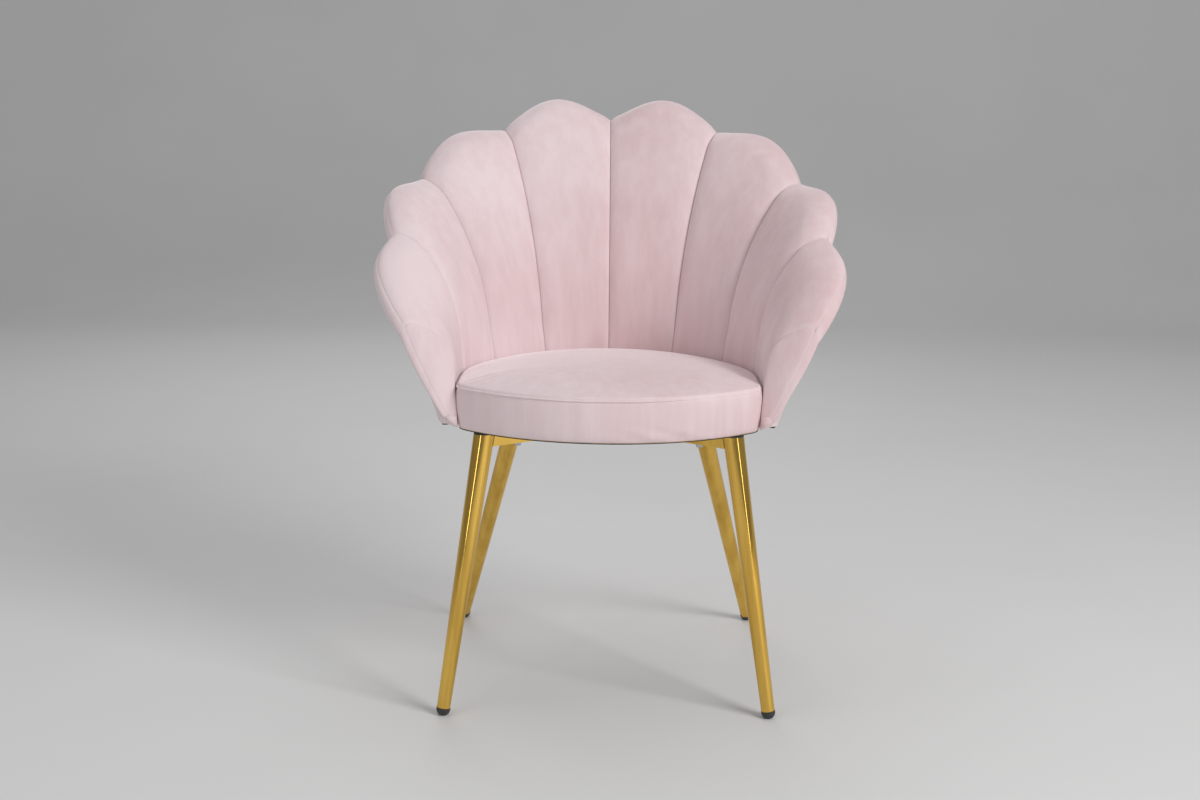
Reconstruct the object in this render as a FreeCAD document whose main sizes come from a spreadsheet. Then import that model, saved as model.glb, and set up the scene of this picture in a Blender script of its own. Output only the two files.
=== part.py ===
import FreeCAD, Part
import Sketcher
import math
import os

from FreeCAD import Placement, Rotation, Vector

# Scallop back armchair: a round upholstered seat inside a shell of ten petals, on four splayed metal legs.
# Millimetres. +X is the viewer's right, the front looks along -Y, +Z is up, and the floor is Z = 0.
# The origin is on the floor under the middle of the chair's box.

doc = FreeCAD.newDocument("ScallopBackChair")

# Driving dimensions
DIMENSIONS = [
    # seat plan, about the upright axis of the shell
    ("seat_width", 432.0),
    ("seat_front_depth", 180.0),
    ("seat_front_radius", 290.0),
    ("seat_corner_radius", 45.0),
    # heights: the base board above the floor, the seat's seam above that and its crown above the seam
    ("base_height", 403.1),
    ("base_thickness", 15.0),
    ("seat_band_height", 57.9),
    ("seat_crown_height", 22.0),
    ("seat_side_bulge", 3.0),
    ("seat_welt_radius", 1.8),
    # layers
    ("cover_thickness", 1.2),
    ("fit_gap", 0.3),
    ("hole_gap", 0.2),
    ("seat_gap", 0.4),
    ("shell_board_thickness", 8.0),
    ("back_foam_thickness", 5.0),
    ("dust_cover_thickness", 1.0),
    ("dust_cover_inset", 5.0),
    # shell: seams 0 to 4 from the middle of the back to the front wing, and the wing's tip
    ("seam_1_angle", 26.5),
    ("seam_2_angle", 52.0),
    ("seam_3_angle", 78.0),
    # the wing's seam and tip, before and past the azimuth where the seat's corner begins
    ("wing_seam_angle", 3.36),
    ("wing_tip_angle", 5.64),
    # each crest's width beyond the seat's side and height above the base board's underside
    ("seam_0_flare_width", 160.0),
    ("seam_1_flare_width", 161.0),
    ("seam_2_flare_width", 144.0),
    ("seam_3_flare_width", 96.0),
    ("seam_4_flare_width", 61.0),
    ("tip_flare_width", 12.2),
    ("seam_0_crest_height", 418.9),
    ("seam_1_crest_height", 400.9),
    ("seam_2_crest_height", 330.0),
    ("seam_3_crest_height", 261.0),
    ("seam_4_crest_height", 149.0),
    ("tip_crest_height", 22.9),
    # height and depth of each petal's rounded end beyond the line between its two seams
    ("petal_1_end_height", 33.0),
    ("petal_2_end_height", 25.0),
    ("petal_3_end_height", 19.0),
    ("petal_4_end_height", 12.0),
    ("petal_5_end_height", 3.0),
    ("petal_1_end_depth", 18.0),
    ("petal_2_end_depth", 15.0),
    ("petal_3_end_depth", 17.0),
    ("petal_4_end_depth", 21.0),
    ("petal_5_end_depth", 2.0),
    # how much fuller an end is towards its lower seam, and how far it runs out into its seams as a wave
    ("petal_skew_share", 0.4),
    ("petal_skew_share_wing", -0.1),
    ("petal_wave_share_upper", 0.6),
    ("petal_wave_share_lower", 0.35),
    ("petal_crown_radius", 8.0),
    # lip that flares over the rim, and the roll down its outer side
    ("lip_radius_back", 50.0),
    ("lip_radius_side", 60.0),
    ("lip_radius_tip", 14.0),
    ("lip_angle_back", 36.0),
    ("lip_angle_side", 43.0),
    ("lip_angle_wing", 50.0),
    ("roll_radius", 18.0),
    ("roll_radius_tip", 8.0),
    ("outer_angle_back", 33.0),
    ("outer_angle_wing", 40.0),
    ("outer_angle_tip", 22.0),
    ("shell_foot_thickness", 30.0),
    ("shell_foot_thickness_wing", 27.0),
    ("shell_foot_thickness_tip", 17.0),
    ("cover_seam_angle", 135.0),
    # legs: each top in from the seat's side and from its front or back, and each foot out from its top
    ("front_leg_inset_width", 43.0),
    ("front_leg_inset_depth", 80.0),
    ("front_leg_splay_width", 56.5),
    ("front_leg_splay_depth", 35.0),
    ("rear_leg_inset_width", 81.0),
    ("rear_leg_inset_depth", 90.0),
    ("rear_leg_splay_width", 100.5),
    ("rear_leg_splay_depth", 176.0),
    ("leg_top_radius", 15.0),
    ("leg_foot_radius", 9.5),
    ("leg_wall", 1.5),
    ("leg_cap_thickness", 2.0),
    ("leg_cap_inset", 0.5),
    ("glide_radius", 10.0),
    ("glide_centre_height", 8.7),
    ("glide_collar_thickness", 2.0),
    ("glide_stem_length", 12.0),
    ("glide_stem_gap", 0.2),
    # cross frame and its fasteners
    ("bar_width", 20.0),
    ("bar_wall", 1.5),
    ("bolt_from_leg_length", 57.0),
    ("bolt_radius", 3.0),
    ("bolt_head_radius", 5.0),
    ("bolt_head_height", 4.0),
    ("bolt_tip_length", 4.0),
    ("washer_radius", 6.5),
    ("washer_thickness", 1.2),
    ("tee_nut_radius", 9.5),
    ("tee_nut_flange_thickness", 1.5),
    ("tee_nut_barrel_radius", 3.9),
    ("tee_nut_barrel_length", 10.0),
    ("screw_radius", 2.0),
    ("screw_head_radius", 4.0),
    ("screw_head_depth", 3.0),
    ("screw_length", 32.0),
    ("staple_width", 10.0),
    ("staple_wire_thickness", 1.0),
    ("staple_leg_length", 5.0),
]

sheet = doc.addObject("Spreadsheet::Sheet", "Dimensions")
for row, (alias, value) in enumerate(DIMENSIONS, start=1):
    sheet.set("A%d" % row, alias)
    sheet.set("B%d" % row, str(value))
    sheet.setAlias("B%d" % row, alias)
doc.recompute()


def size(alias):
    return float(sheet.get(alias))


def cell(alias):
    return "Dimensions." + alias


GAP = size("fit_gap")
HOLE_GAP = size("hole_gap")
COVER = size("cover_thickness")
SKIN = COVER + GAP
SEAT_GAP = size("seat_gap")
SEAMS = 5
PETALS = range(1, SEAMS + 1)
SIDES = (("left", -1), ("right", 1))

sub_parts = []


def keep(obj, label):
    obj.Label = label
    sub_parts.append(obj)
    return obj


# Seat plan: a back half circle, straight sides, corner arcs and a wide front arc, all tangent.
# Coordinates are from the shell's axis, y towards the back.

SEAT_HALF = size("seat_width") / 2
CORNER = size("seat_corner_radius")
FRONT = size("seat_front_radius")
CORNER_X = SEAT_HALF - CORNER
FRONT_REACH = size("seat_front_depth")
FRONT_CENTRE_Y = FRONT - FRONT_REACH
CORNER_Y = FRONT_CENTRE_Y - math.sqrt((FRONT - CORNER) ** 2 - CORNER_X ** 2)
CORNER_TURN = math.atan2(CORNER_X, FRONT_CENTRE_Y - CORNER_Y)


def turned(centre_x, centre_y, radius, angle, z):
    """Point on a plan circle; the angle runs from the front (-Y) towards +X."""
    return Vector(centre_x + radius * math.sin(angle), centre_y - radius * math.cos(angle), z)


def seat_outline(inset, z, scale=1.0):
    """Closed seat outline, inset by a distance and then scaled about the shell's axis."""
    half = SEAT_HALF - inset
    corner = CORNER - inset
    front = FRONT - inset
    right_angle = math.pi / 2

    def at(cx, cy, radius, angle):
        p = turned(cx, cy, radius, angle, z)
        return Vector(p.x * scale, p.y * scale, z)

    def arc(cx, cy, radius, start, end):
        middle = (start + end) / 2
        return Part.Arc(at(cx, cy, radius, start), at(cx, cy, radius, middle), at(cx, cy, radius, end)).toShape()

    edges = [
        arc(0, FRONT_CENTRE_Y, front, -CORNER_TURN, CORNER_TURN),
        arc(CORNER_X, CORNER_Y, corner, CORNER_TURN, right_angle),
        Part.makeLine(at(CORNER_X, CORNER_Y, corner, right_angle), at(0, 0, half, right_angle)),
        arc(0, 0, half, right_angle, 2 * right_angle),
        arc(0, 0, half, 2 * right_angle, 3 * right_angle),
        Part.makeLine(at(0, 0, half, -right_angle), at(-CORNER_X, CORNER_Y, corner, -right_angle)),
        arc(-CORNER_X, CORNER_Y, corner, -right_angle, -CORNER_TURN),
    ]
    return Part.Wire(edges)


def seat_reach(azimuth, clearance):
    """Distance from the axis to the seat's side at an azimuth from the back, with a clearance outside it."""
    half = SEAT_HALF + clearance
    if azimuth <= 90.0:
        return half
    turn = math.radians(azimuth)
    along_side = half / math.sin(turn)
    if along_side * math.cos(turn) >= CORNER_Y:
        return along_side
    across = CORNER_X * math.sin(turn) + CORNER_Y * math.cos(turn)
    square = CORNER_X ** 2 + CORNER_Y ** 2
    corner = CORNER + clearance
    return across + math.sqrt(across ** 2 - square + corner ** 2)


# Shell sections. Each lies in an upright plane through the axis; r runs outward and z up.
# A direction is an angle from upright, leaning outward, so 0 is up, 90 is outward and 180 is down.

BASE = size("base_height")
BASE_TOP = BASE + size("base_thickness")
SHELL_BOTTOM = BASE + GAP
WALL_TOP = BASE + size("seat_band_height")
TIP_WALL_TOP = BASE + size("tip_crest_height") / 2
BOARD_OUTER = SKIN + size("back_foam_thickness") + GAP
BOARD_INNER = BOARD_OUTER + size("shell_board_thickness")

CORNER_ANGLE = 90.0 + math.degrees(math.atan2(-CORNER_Y, SEAT_HALF))
WING_ANGLES = [CORNER_ANGLE - size("wing_seam_angle"), CORNER_ANGLE + size("wing_tip_angle")]
SEAM_ANGLES = [0.0] + [size("seam_%d_angle" % n) for n in range(1, SEAMS - 1)] + WING_ANGLES
FLARES = [size("seam_%d_flare_width" % n) for n in range(SEAMS)] + [size("tip_flare_width")]
CREST_RADII = [seat_reach(angle, 0.0) + flare for angle, flare in zip(SEAM_ANGLES, FLARES)]
CREST_RISES = [size("seam_%d_crest_height" % n) for n in range(SEAMS)] + [size("tip_crest_height")]
CREST_HEIGHTS = [BASE + rise for rise in CREST_RISES]
LIP_BACK = size("lip_radius_back")
LIP_SIDE = size("lip_radius_side")
LIP_RADII = [LIP_BACK, LIP_BACK, LIP_SIDE, LIP_BACK, LIP_SIDE, size("lip_radius_tip")]
LEAN_BACK = size("lip_angle_back")
LEAN_SIDE = size("lip_angle_side")
LIP_LEANS = [LEAN_BACK, LEAN_BACK, LEAN_SIDE, LEAN_SIDE, size("lip_angle_wing"), size("lip_angle_wing")]
ROLL = size("roll_radius")
ROLL_RADII = [ROLL] * SEAMS + [size("roll_radius_tip")]
OUTER_BACK = size("outer_angle_back")
OUTER_LEANS = [OUTER_BACK] * 4 + [size("outer_angle_wing"), size("outer_angle_tip")]
FOOT = size("shell_foot_thickness")
FOOT_THICKNESSES = [FOOT] * 4 + [size("shell_foot_thickness_wing"), size("shell_foot_thickness_tip")]
WALL_TOPS = [WALL_TOP] * SEAMS + [TIP_WALL_TOP]
RISES = [size("petal_%d_end_height" % n) for n in PETALS]
REACHES = [size("petal_%d_end_depth" % n) for n in PETALS]
CROWN = size("petal_crown_radius")
SKEW = size("petal_skew_share")
SKEWS = [0.0, SKEW, SKEW, size("petal_skew_share_wing"), 0.0]
UPPER_WAVE = size("petal_wave_share_upper")
LOWER_WAVE = size("petal_wave_share_lower")
COVER_SEAM = size("cover_seam_angle")

LEVEL_ANGLE = 90.0
DOWN_ANGLE = 180.0
SCALLOP_HALF_ANGLE = math.radians(50)
STATION_SHARES = (0.0, 0.08, 0.28, 0.5, 0.72, 0.92, 1.0)
SEAM_EDGE_SHARE = 0.0018
CROWN_POWER_SHARE = 3


def through(values, petal, share):
    """Smooth curve through the values at the seams; the back is mirror-even about seam 0."""
    before = values[petal - 2] if petal > 1 else values[1]
    start = values[petal - 1]
    end = values[petal]
    after = values[petal + 1] if petal < SEAMS else 2 * end - start
    slope_in = (end - before) / 2
    slope_out = (after - start) / 2
    a = 2 * start - 2 * end + slope_in + slope_out
    b = 3 * (end - start) - 2 * slope_in - slope_out
    return ((a * share + b) * share + slope_in) * share + start


def scallop(share):
    """Height of a petal's end over its chord: a circular arch that runs out into both seams as a wave."""
    radius = 1 / math.sin(SCALLOP_HALF_ANGLE)
    chord = radius * math.cos(SCALLOP_HALF_ANGLE)
    offset = 2 * share - 1
    arch = (math.sqrt(radius ** 2 - offset ** 2) - chord) / (radius - chord)
    wave = math.sin(math.pi * share) ** 2
    return arch + (wave - arch) * (UPPER_WAVE + (LOWER_WAVE - UPPER_WAVE) * share)


def crown(share):
    """Fullness across a petal: 0 at the seams, flat and near 1 over most of its width."""
    return 1 - abs(2 * share - 1) ** CROWN_POWER_SHARE


def skewed(share, skew):
    """Weight that makes an arch fuller towards its lower seam, or its upper one where the skew is negative."""
    return 1 + skew * (2 * share - 1)


class Bend:
    """Arc in a section: a centre, a radius and the directions at its two ends."""

    def __init__(self, r, z, radius, start, end):
        self.r = r
        self.z = z
        self.radius = radius
        self.start = start
        self.end = end

    def at(self, direction, inset=0.0):
        turn = math.radians(direction)
        reach = self.radius + inset
        return (self.r - reach * math.cos(turn), self.z + reach * math.sin(turn))

    def at_height(self, height, inset):
        return math.degrees(math.asin((height - self.z) / (self.radius + inset)))


def bend_between(start, end, end_direction):
    """Arc from one point to another that arrives in a given direction."""
    turn = math.radians(end_direction)
    normal = (math.cos(turn), -math.sin(turn))
    dr = end[0] - start[0]
    dz = end[1] - start[1]
    radius = -(dr ** 2 + dz ** 2) / (2 * (dr * normal[0] + dz * normal[1]))
    chord = math.degrees(math.atan2(dr, dz))
    return Bend(end[0] + radius * normal[0], end[1] + radius * normal[1], radius, 2 * chord - end_direction, end_direction)


class Meridian:
    """Outline of the shell at one place of one petal: wall, front arc, lip, roll and outer arc."""

    def __init__(self, petal, share):
        start = SEAM_ANGLES[petal - 1]
        self.azimuth = start + (SEAM_ANGLES[petal] - start) * share
        arch = scallop(share) * skewed(share, SKEWS[petal - 1])
        self.wall = seat_reach(self.azimuth, SEAT_GAP)
        self.foot = self.wall + through(FOOT_THICKNESSES, petal, share)
        crest_r = through(CREST_RADII, petal, share) + REACHES[petal - 1] * arch
        crest_z = through(CREST_HEIGHTS, petal, share) + RISES[petal - 1] * arch
        lip = through(LIP_RADII, petal, share) + CROWN * crown(share)
        lean = through(LIP_LEANS, petal, share)
        roll = through(ROLL_RADII, petal, share)
        outer = through(OUTER_LEANS, petal, share)
        self.lip = Bend(crest_r, crest_z - lip, lip, lean, LEVEL_ANGLE)
        self.roll = Bend(crest_r, crest_z - roll, roll, LEVEL_ANGLE, DOWN_ANGLE + outer)
        lip_start = self.lip.at(lean)
        upright = lip_start[1] - (lip_start[0] - self.wall) / math.tan(math.radians(lean / 2))
        wall_top = max(through(WALL_TOPS, petal, share), upright)
        self.front = bend_between((self.wall, wall_top), lip_start, lean)
        self.back = bend_between((self.foot, SHELL_BOTTOM), self.roll.at(DOWN_ANGLE + outer), outer)

    def front_path(self, bottom, inset, roll_end):
        """Corners from the foot of the inner wall, up the front and over the rim."""
        corners = [(None, (self.wall + inset, bottom)), (None, self.front.at(self.front.start, -inset))]
        for bend, end in ((self.front, self.front.end), (self.lip, LEVEL_ANGLE), (self.roll, roll_end)):
            corners.append((bend.at((bend.start + end) / 2, -inset), bend.at(end, -inset)))
        return corners

    def back_path(self, bottom, inset, top_gap=0.0):
        """The two ends and the middle of the outer arc, from the top down."""
        top = self.back.end - math.degrees(top_gap / self.back.radius)
        low = self.back.at_height(bottom, inset)
        return self.back.at(top, inset), self.back.at((top + low) / 2, inset), self.back.at(low, inset)


def space_point(azimuth, point):
    turn = math.radians(azimuth)
    return Vector(point[0] * math.sin(turn), point[0] * math.cos(turn), point[1])


def section_wire(azimuth, corners):
    """Closed wire; each corner is reached by a line, or by an arc over the point given with it."""
    edges = []
    previous = space_point(azimuth, corners[-1][1])
    for bow, corner in corners:
        point = space_point(azimuth, corner)
        if bow is None:
            edges.append(Part.makeLine(previous, point))
        else:
            edges.append(Part.Arc(previous, space_point(azimuth, bow), point).toShape())
        previous = point
    return Part.Wire(edges)


def cover_section(petal, share):
    """Front cover: a skin up the inner wall and the front, over the crest to the rim seam."""
    m = Meridian(petal, share)
    bottom = SHELL_BOTTOM if petal == SEAMS else BASE_TOP + GAP
    rim = COVER_SEAM - math.degrees(GAP / 2 / m.roll.radius)
    outer = m.front_path(bottom, 0.0, rim)
    inner = m.front_path(bottom, COVER, rim)
    corners = list(outer)
    corners.append((None, inner[-1][1]))
    for step in range(len(inner) - 1, 0, -1):
        corners.append((inner[step][0], inner[step - 1][1]))
    return section_wire(m.azimuth, corners)


def foam_section(petal, share):
    """Petal foam between the front cover and the shell board; the wing's foam fills the whole thickness."""
    m = Meridian(petal, share)
    wing = petal == SEAMS
    bottom = SHELL_BOTTOM if wing else BASE_TOP + GAP
    corners = m.front_path(bottom, SKIN, m.roll.end)
    if wing:
        top, middle, low = m.back_path(bottom, SKIN)
    else:
        top, middle, low = m.back_path(bottom, BOARD_INNER + GAP)
        corners.append((None, top))
    corners.append((middle, low))
    return section_wire(m.azimuth, corners)


def layer_section(petal, share, outer_inset, inner_inset):
    """Layer that follows the outer arc, from the foot of the shell to just under the rim's foam."""
    m = Meridian(petal, share)
    outer_top, outer_middle, outer_low = m.back_path(SHELL_BOTTOM, outer_inset, GAP)
    inner_top, inner_middle, inner_low = m.back_path(SHELL_BOTTOM, inner_inset, GAP)
    corners = [(None, outer_low), (outer_middle, outer_top), (None, inner_top), (inner_middle, inner_low)]
    return section_wire(m.azimuth, corners)


def board_section(petal, share):
    return layer_section(petal, share, BOARD_OUTER, BOARD_INNER)


def back_foam_section(petal, share):
    return layer_section(petal, share, SKIN, BOARD_OUTER - GAP)


def back_cover_section(petal, share):
    """Outer cover: from the foot of the shell up the outside to the rim seam."""
    m = Meridian(petal, share)
    rim = COVER_SEAM + math.degrees(GAP / 2 / m.roll.radius)
    bow = (rim + m.roll.end) / 2
    top, middle, low = m.back_path(SHELL_BOTTOM, 0.0)
    inner_top, inner_middle, inner_low = m.back_path(SHELL_BOTTOM, COVER)
    corners = [
        (None, low),
        (middle, top),
        (m.roll.at(bow), m.roll.at(rim)),
        (None, m.roll.at(rim, -COVER)),
        (m.roll.at(bow, -COVER), inner_top),
        (inner_middle, inner_low),
    ]
    return section_wire(m.azimuth, corners)


def petal_loft(section, petal, edge=0.0):
    """Smooth solid over one petal, held back from both seams by a share of the petal's angle."""
    shares = [min(max(station, edge), 1 - edge) for station in STATION_SHARES]
    return Part.makeLoft([section(petal, share) for share in shares], True, False)


def mirrored(shape):
    return shape.mirror(Vector(0, 0, 0), Vector(1, 0, 0))


def ring_of_petals(section, last):
    """One solid from the panels of both sides, joined at the seams."""
    panels = [petal_loft(section, petal) for petal in range(1, last + 1)]
    panels += [mirrored(panel) for panel in panels]
    return panels[0].multiFuse(panels[1:])


# Origin: the shell's axis is set back so that the chair's box is centred on it.


REACH_STEPS = 50


def back_reach():
    """How far the back petal's rearmost point lies behind the axis."""
    reaches = []
    for step in range(REACH_STEPS + 1):
        m = Meridian(1, step / REACH_STEPS)
        reaches.append((m.roll.r + m.roll.radius) * math.cos(math.radians(m.azimuth)))
    return max(reaches)


AXIS_Y = (FRONT_REACH - back_reach()) / 2
AXIS = Placement(Vector(0, AXIS_Y, 0), Rotation())


def add_shape(name, shape):
    obj = doc.addObject("Part::Feature", name)
    obj.Shape = shape
    obj.Placement = AXIS
    return keep(obj, name)


# Fastener places


class Leg:
    """One leg: the ball centre of its glide, its top and the direction of its tube."""

    def __init__(self, end, side_name, side):
        self.name = "%s_%s" % (end, side_name)
        way = -1 if end == "front" else 1
        reach = FRONT_REACH if end == "front" else SEAT_HALF
        top_x = SEAT_HALF - size(end + "_leg_inset_width")
        top_y = reach - size(end + "_leg_inset_depth")
        foot_x = top_x + size(end + "_leg_splay_width")
        foot_y = top_y + size(end + "_leg_splay_depth")
        self.foot = Vector(side * foot_x, way * foot_y, size("glide_centre_height"))
        self.top = Vector(side * top_x, way * top_y, LEG_TOP)
        self.direction = (self.top - self.foot).normalize()
        self.length = (self.top - self.foot).Length
        self.rotation = Rotation(Vector(0, 0, 1), self.direction)

    def at_height(self, height):
        share = (height - self.foot.z) / (self.top.z - self.foot.z)
        return self.foot + (self.top - self.foot) * share


BAR = size("bar_width")
BAR_TOP = BASE - 2 * GAP - size("dust_cover_thickness")
BAR_BOTTOM = BAR_TOP - BAR
LEG_TOP = BAR_TOP - size("leg_cap_thickness")
LEGS = [Leg(end, name, side) for end in ("front", "rear") for name, side in SIDES]
LEG_BY_NAME = {leg.name: leg for leg in LEGS}


def bar_end(name):
    point = LEG_BY_NAME[name].at_height((BAR_TOP + BAR_BOTTOM) / 2)
    return Vector(point.x, point.y, BAR_BOTTOM)


def bolt_places():
    """One bolt near each leg, on the line to the opposite leg."""
    places = []
    for near, far in (("front_left", "rear_right"), ("front_right", "rear_left"),
                      ("rear_left", "front_right"), ("rear_right", "front_left")):
        start = bar_end(near)
        direction = (bar_end(far) - start).normalize()
        place = start + direction * size("bolt_from_leg_length")
        places.append(Vector(place.x, place.y, 0))
    return places


BOLTS = bolt_places()


def upright_pins(radius, bottom, top):
    """Round pins at the four bolt places."""
    pins = [Part.makeCylinder(radius, top - bottom, Vector(p.x, p.y, bottom)) for p in BOLTS]
    return Part.makeCompound(pins)


# Shell screws run inward through the shell board into the edge of the base board.

SCREW_HEIGHT = BASE + size("base_thickness") / 2
SCREW_PETALS = range(1, SEAMS)


def screw_shapes(shank_radius, head_radius, extra):
    """Screws from the outer face of the shell board; extra lengthens both ends for the holes."""
    shapes = []
    for petal in SCREW_PETALS:
        m = Meridian(petal, 0.5)
        face = m.back.at(m.back.at_height(SCREW_HEIGHT, BOARD_OUTER), BOARD_OUTER)[0] - size("screw_head_depth") / 2
        length = size("screw_length") + extra
        depth = size("screw_head_depth")
        outward = space_point(m.azimuth, (1.0, 0.0))
        start = space_point(m.azimuth, (face + extra, SCREW_HEIGHT))
        head_end = space_point(m.azimuth, (face - depth, SCREW_HEIGHT))
        head = Part.makeCylinder(head_radius, depth + extra, start, outward.negative())
        shank = Part.makeCylinder(shank_radius, length - depth, head_end, outward.negative())
        screw = head.fuse(shank)
        shapes += [screw, mirrored(screw)]
    return Part.makeCompound(shapes)


# Staples hold the dust cover to the base board.

STAPLE_ANGLES = (12, 36, 60, 84, 108, 132, 156)


def staple_shapes(clearance):
    shapes = []
    wire = size("staple_wire_thickness") + 2 * clearance
    width = size("staple_width") + 2 * clearance
    crown_top = BASE - GAP - size("dust_cover_thickness")
    rise = size("staple_leg_length") + clearance
    for azimuth in STAPLE_ANGLES:
        radius = seat_outline_distance(azimuth) - size("staple_width")
        crown_bar = Part.makeBox(width, wire, wire, Vector(-width / 2, -wire / 2, crown_top - wire + clearance))
        legs = []
        for start in (-width / 2, width / 2 - wire):
            legs.append(Part.makeBox(wire, wire, rise, Vector(start, -wire / 2, crown_top)))
        staple = crown_bar.fuse(legs)
        staple.translate(Vector(0, radius, 0))
        staple.rotate(Vector(0, 0, 0), Vector(0, 0, 1), -azimuth)
        shapes += [staple, mirrored(staple)]
    return Part.makeCompound(shapes)


def seat_outline_distance(azimuth):
    """Distance from the axis to the seat outline at any azimuth from the back."""
    if azimuth <= SEAM_ANGLES[-1]:
        return seat_reach(azimuth, 0.0)
    turn = math.radians(azimuth)
    across = FRONT_CENTRE_Y * math.cos(turn)
    return across + math.sqrt(across ** 2 - FRONT_CENTRE_Y ** 2 + FRONT ** 2)


# Base board: carries the seat, reaches under the petals to the shell board and takes the legs' bolts.

SEAT_BULGE = size("seat_side_bulge")
WING_ANGLE = SEAM_ANGLES[SEAMS - 1]
SWEEP_MARGIN_ANGLE = 0.2
PAST = 1.0


def rear_sector(radius, bottom, top):
    """Disc sector under the petals, between the two wing seams."""
    sweep = 2 * (WING_ANGLE - SWEEP_MARGIN_ANGLE)
    sector = Part.makeCylinder(radius, top - bottom, Vector(0, 0, bottom), Vector(0, 0, 1), sweep)
    sector.rotate(Vector(0, 0, 0), Vector(0, 0, 1), 90 - sweep / 2)
    return sector


def floor_radius():
    """Reach of the base board: the nearest inner face of the shell board at its foot, less a gap."""
    inset = BOARD_INNER + GAP
    faces = []
    for petal in range(1, SEAMS):
        for station in STATION_SHARES:
            m = Meridian(petal, station)
            faces.append(m.back.at(m.back.at_height(SHELL_BOTTOM, inset), inset)[0])
    return min(faces)


def seat_slab(inset, bottom, top):
    return Part.Face(seat_outline(inset, bottom)).extrude(Vector(0, 0, top - bottom))


def base_board_shape():
    board = seat_slab(SEAT_BULGE + SKIN + GAP, BASE, BASE_TOP)
    board = board.fuse(rear_sector(floor_radius(), BASE, BASE_TOP))
    board = board.cut(upright_pins(size("tee_nut_barrel_radius") + HOLE_GAP, BASE - PAST, BASE_TOP + PAST))
    board = board.cut(screw_shapes(size("screw_radius") + HOLE_GAP, size("screw_radius") + HOLE_GAP, PAST))
    return board.cut(staple_shapes(HOLE_GAP))


def dust_cover_shape():
    bottom = BAR_TOP + GAP
    top = BASE - GAP
    sheet_solid = seat_slab(size("dust_cover_inset"), bottom, top)
    rim = Meridian(1, 0.0).foot - size("dust_cover_inset")
    sheet_solid = sheet_solid.fuse(rear_sector(rim, bottom, top))
    sheet_solid = sheet_solid.cut(upright_pins(size("bolt_radius") + HOLE_GAP, bottom - PAST, top + PAST))
    return sheet_solid.cut(staple_shapes(HOLE_GAP))


# Seat: a bulged side under a seam, and a crown over it.

SEAM_HEIGHT = BASE + size("seat_band_height")
CROWN_RISE = size("seat_crown_height")
CROWN_SHARES = (0.0, 0.01, 0.04, 0.1, 0.22, 0.4, 0.62, 0.85)
CROWN_SHAPE_SHARE = 0.35
SIDE_SHARES = (0.0, 0.25, 0.5, 0.75)
BAND_SHARES = (0.0, 0.33, 0.5, 0.67, 1.0)
WELT = size("seat_welt_radius")


def side_outline(height, depth):
    """Seat outline on the side; depth goes in from the outer face of the band."""
    middle = (BASE + SEAM_HEIGHT) / 2
    share = (height - middle) / (SEAM_HEIGHT - middle)
    return seat_outline(SEAT_BULGE * share ** 2 + depth, height)


def crown_outline(step, depth):
    """Seat outline on the crown; a step of 0 is the seam and 1 the middle of the seat."""
    rise = (1 - (1 - step) ** 2) ** CROWN_SHAPE_SHARE
    return seat_outline(SEAT_BULGE + depth, SEAM_HEIGHT + (CROWN_RISE - depth) * rise, 1 - step)


def side_outlines(bottom, top, depth):
    return [side_outline(bottom + (top - bottom) * step, depth) for step in SIDE_SHARES]


def seat_body(bottom, depth):
    wires = side_outlines(bottom, SEAM_HEIGHT, depth)
    wires += [crown_outline(step, depth) for step in CROWN_SHARES]
    return Part.makeLoft(wires, True, True)


def seat_foam_shape():
    foam = seat_body(BASE_TOP + GAP, SKIN)
    pocket = size("tee_nut_flange_thickness") + size("bolt_tip_length") + 2 * GAP
    return foam.cut(upright_pins(size("tee_nut_radius") + GAP, BASE_TOP, BASE_TOP + pocket))


def seat_top_cover_shape():
    outer = seat_body(BASE_TOP, 0.0)
    inner = seat_body(BASE_TOP, COVER)
    below = seat_slab(-CORNER, BASE_TOP - PAST, SEAM_HEIGHT + WELT + GAP)
    return outer.cut(inner).cut(below)


def seat_band_cover_shape():
    top = SEAM_HEIGHT - WELT - GAP
    heights = [SHELL_BOTTOM + (top - SHELL_BOTTOM) * step for step in BAND_SHARES]
    outer = Part.makeLoft([side_outline(height, 0.0) for height in heights], True, True)
    inner = Part.makeLoft([side_outline(height, COVER) for height in heights], True, True)
    return outer.cut(inner).cut(rear_sector(floor_radius() + GAP, BASE - PAST, BASE_TOP + GAP))


def seat_welt_shape():
    path = seat_outline(SEAT_BULGE + SKIN - WELT - GAP, SEAM_HEIGHT)
    start = path.Vertexes[0].Point
    tangent = path.Edges[0].tangentAt(path.Edges[0].FirstParameter)
    ring = Part.Wire([Part.makeCircle(WELT, start, tangent)])
    return path.makePipeShell([ring], True, True)


add_shape("base_board", base_board_shape())
add_shape("seat_foam", seat_foam_shape())
add_shape("seat_top_cover", seat_top_cover_shape())
add_shape("seat_band_cover", seat_band_cover_shape())
add_shape("seat_welt", seat_welt_shape())
add_shape("dust_cover", dust_cover_shape())
add_shape("dust_cover_staples", staple_shapes(0.0))

# Shell

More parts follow.
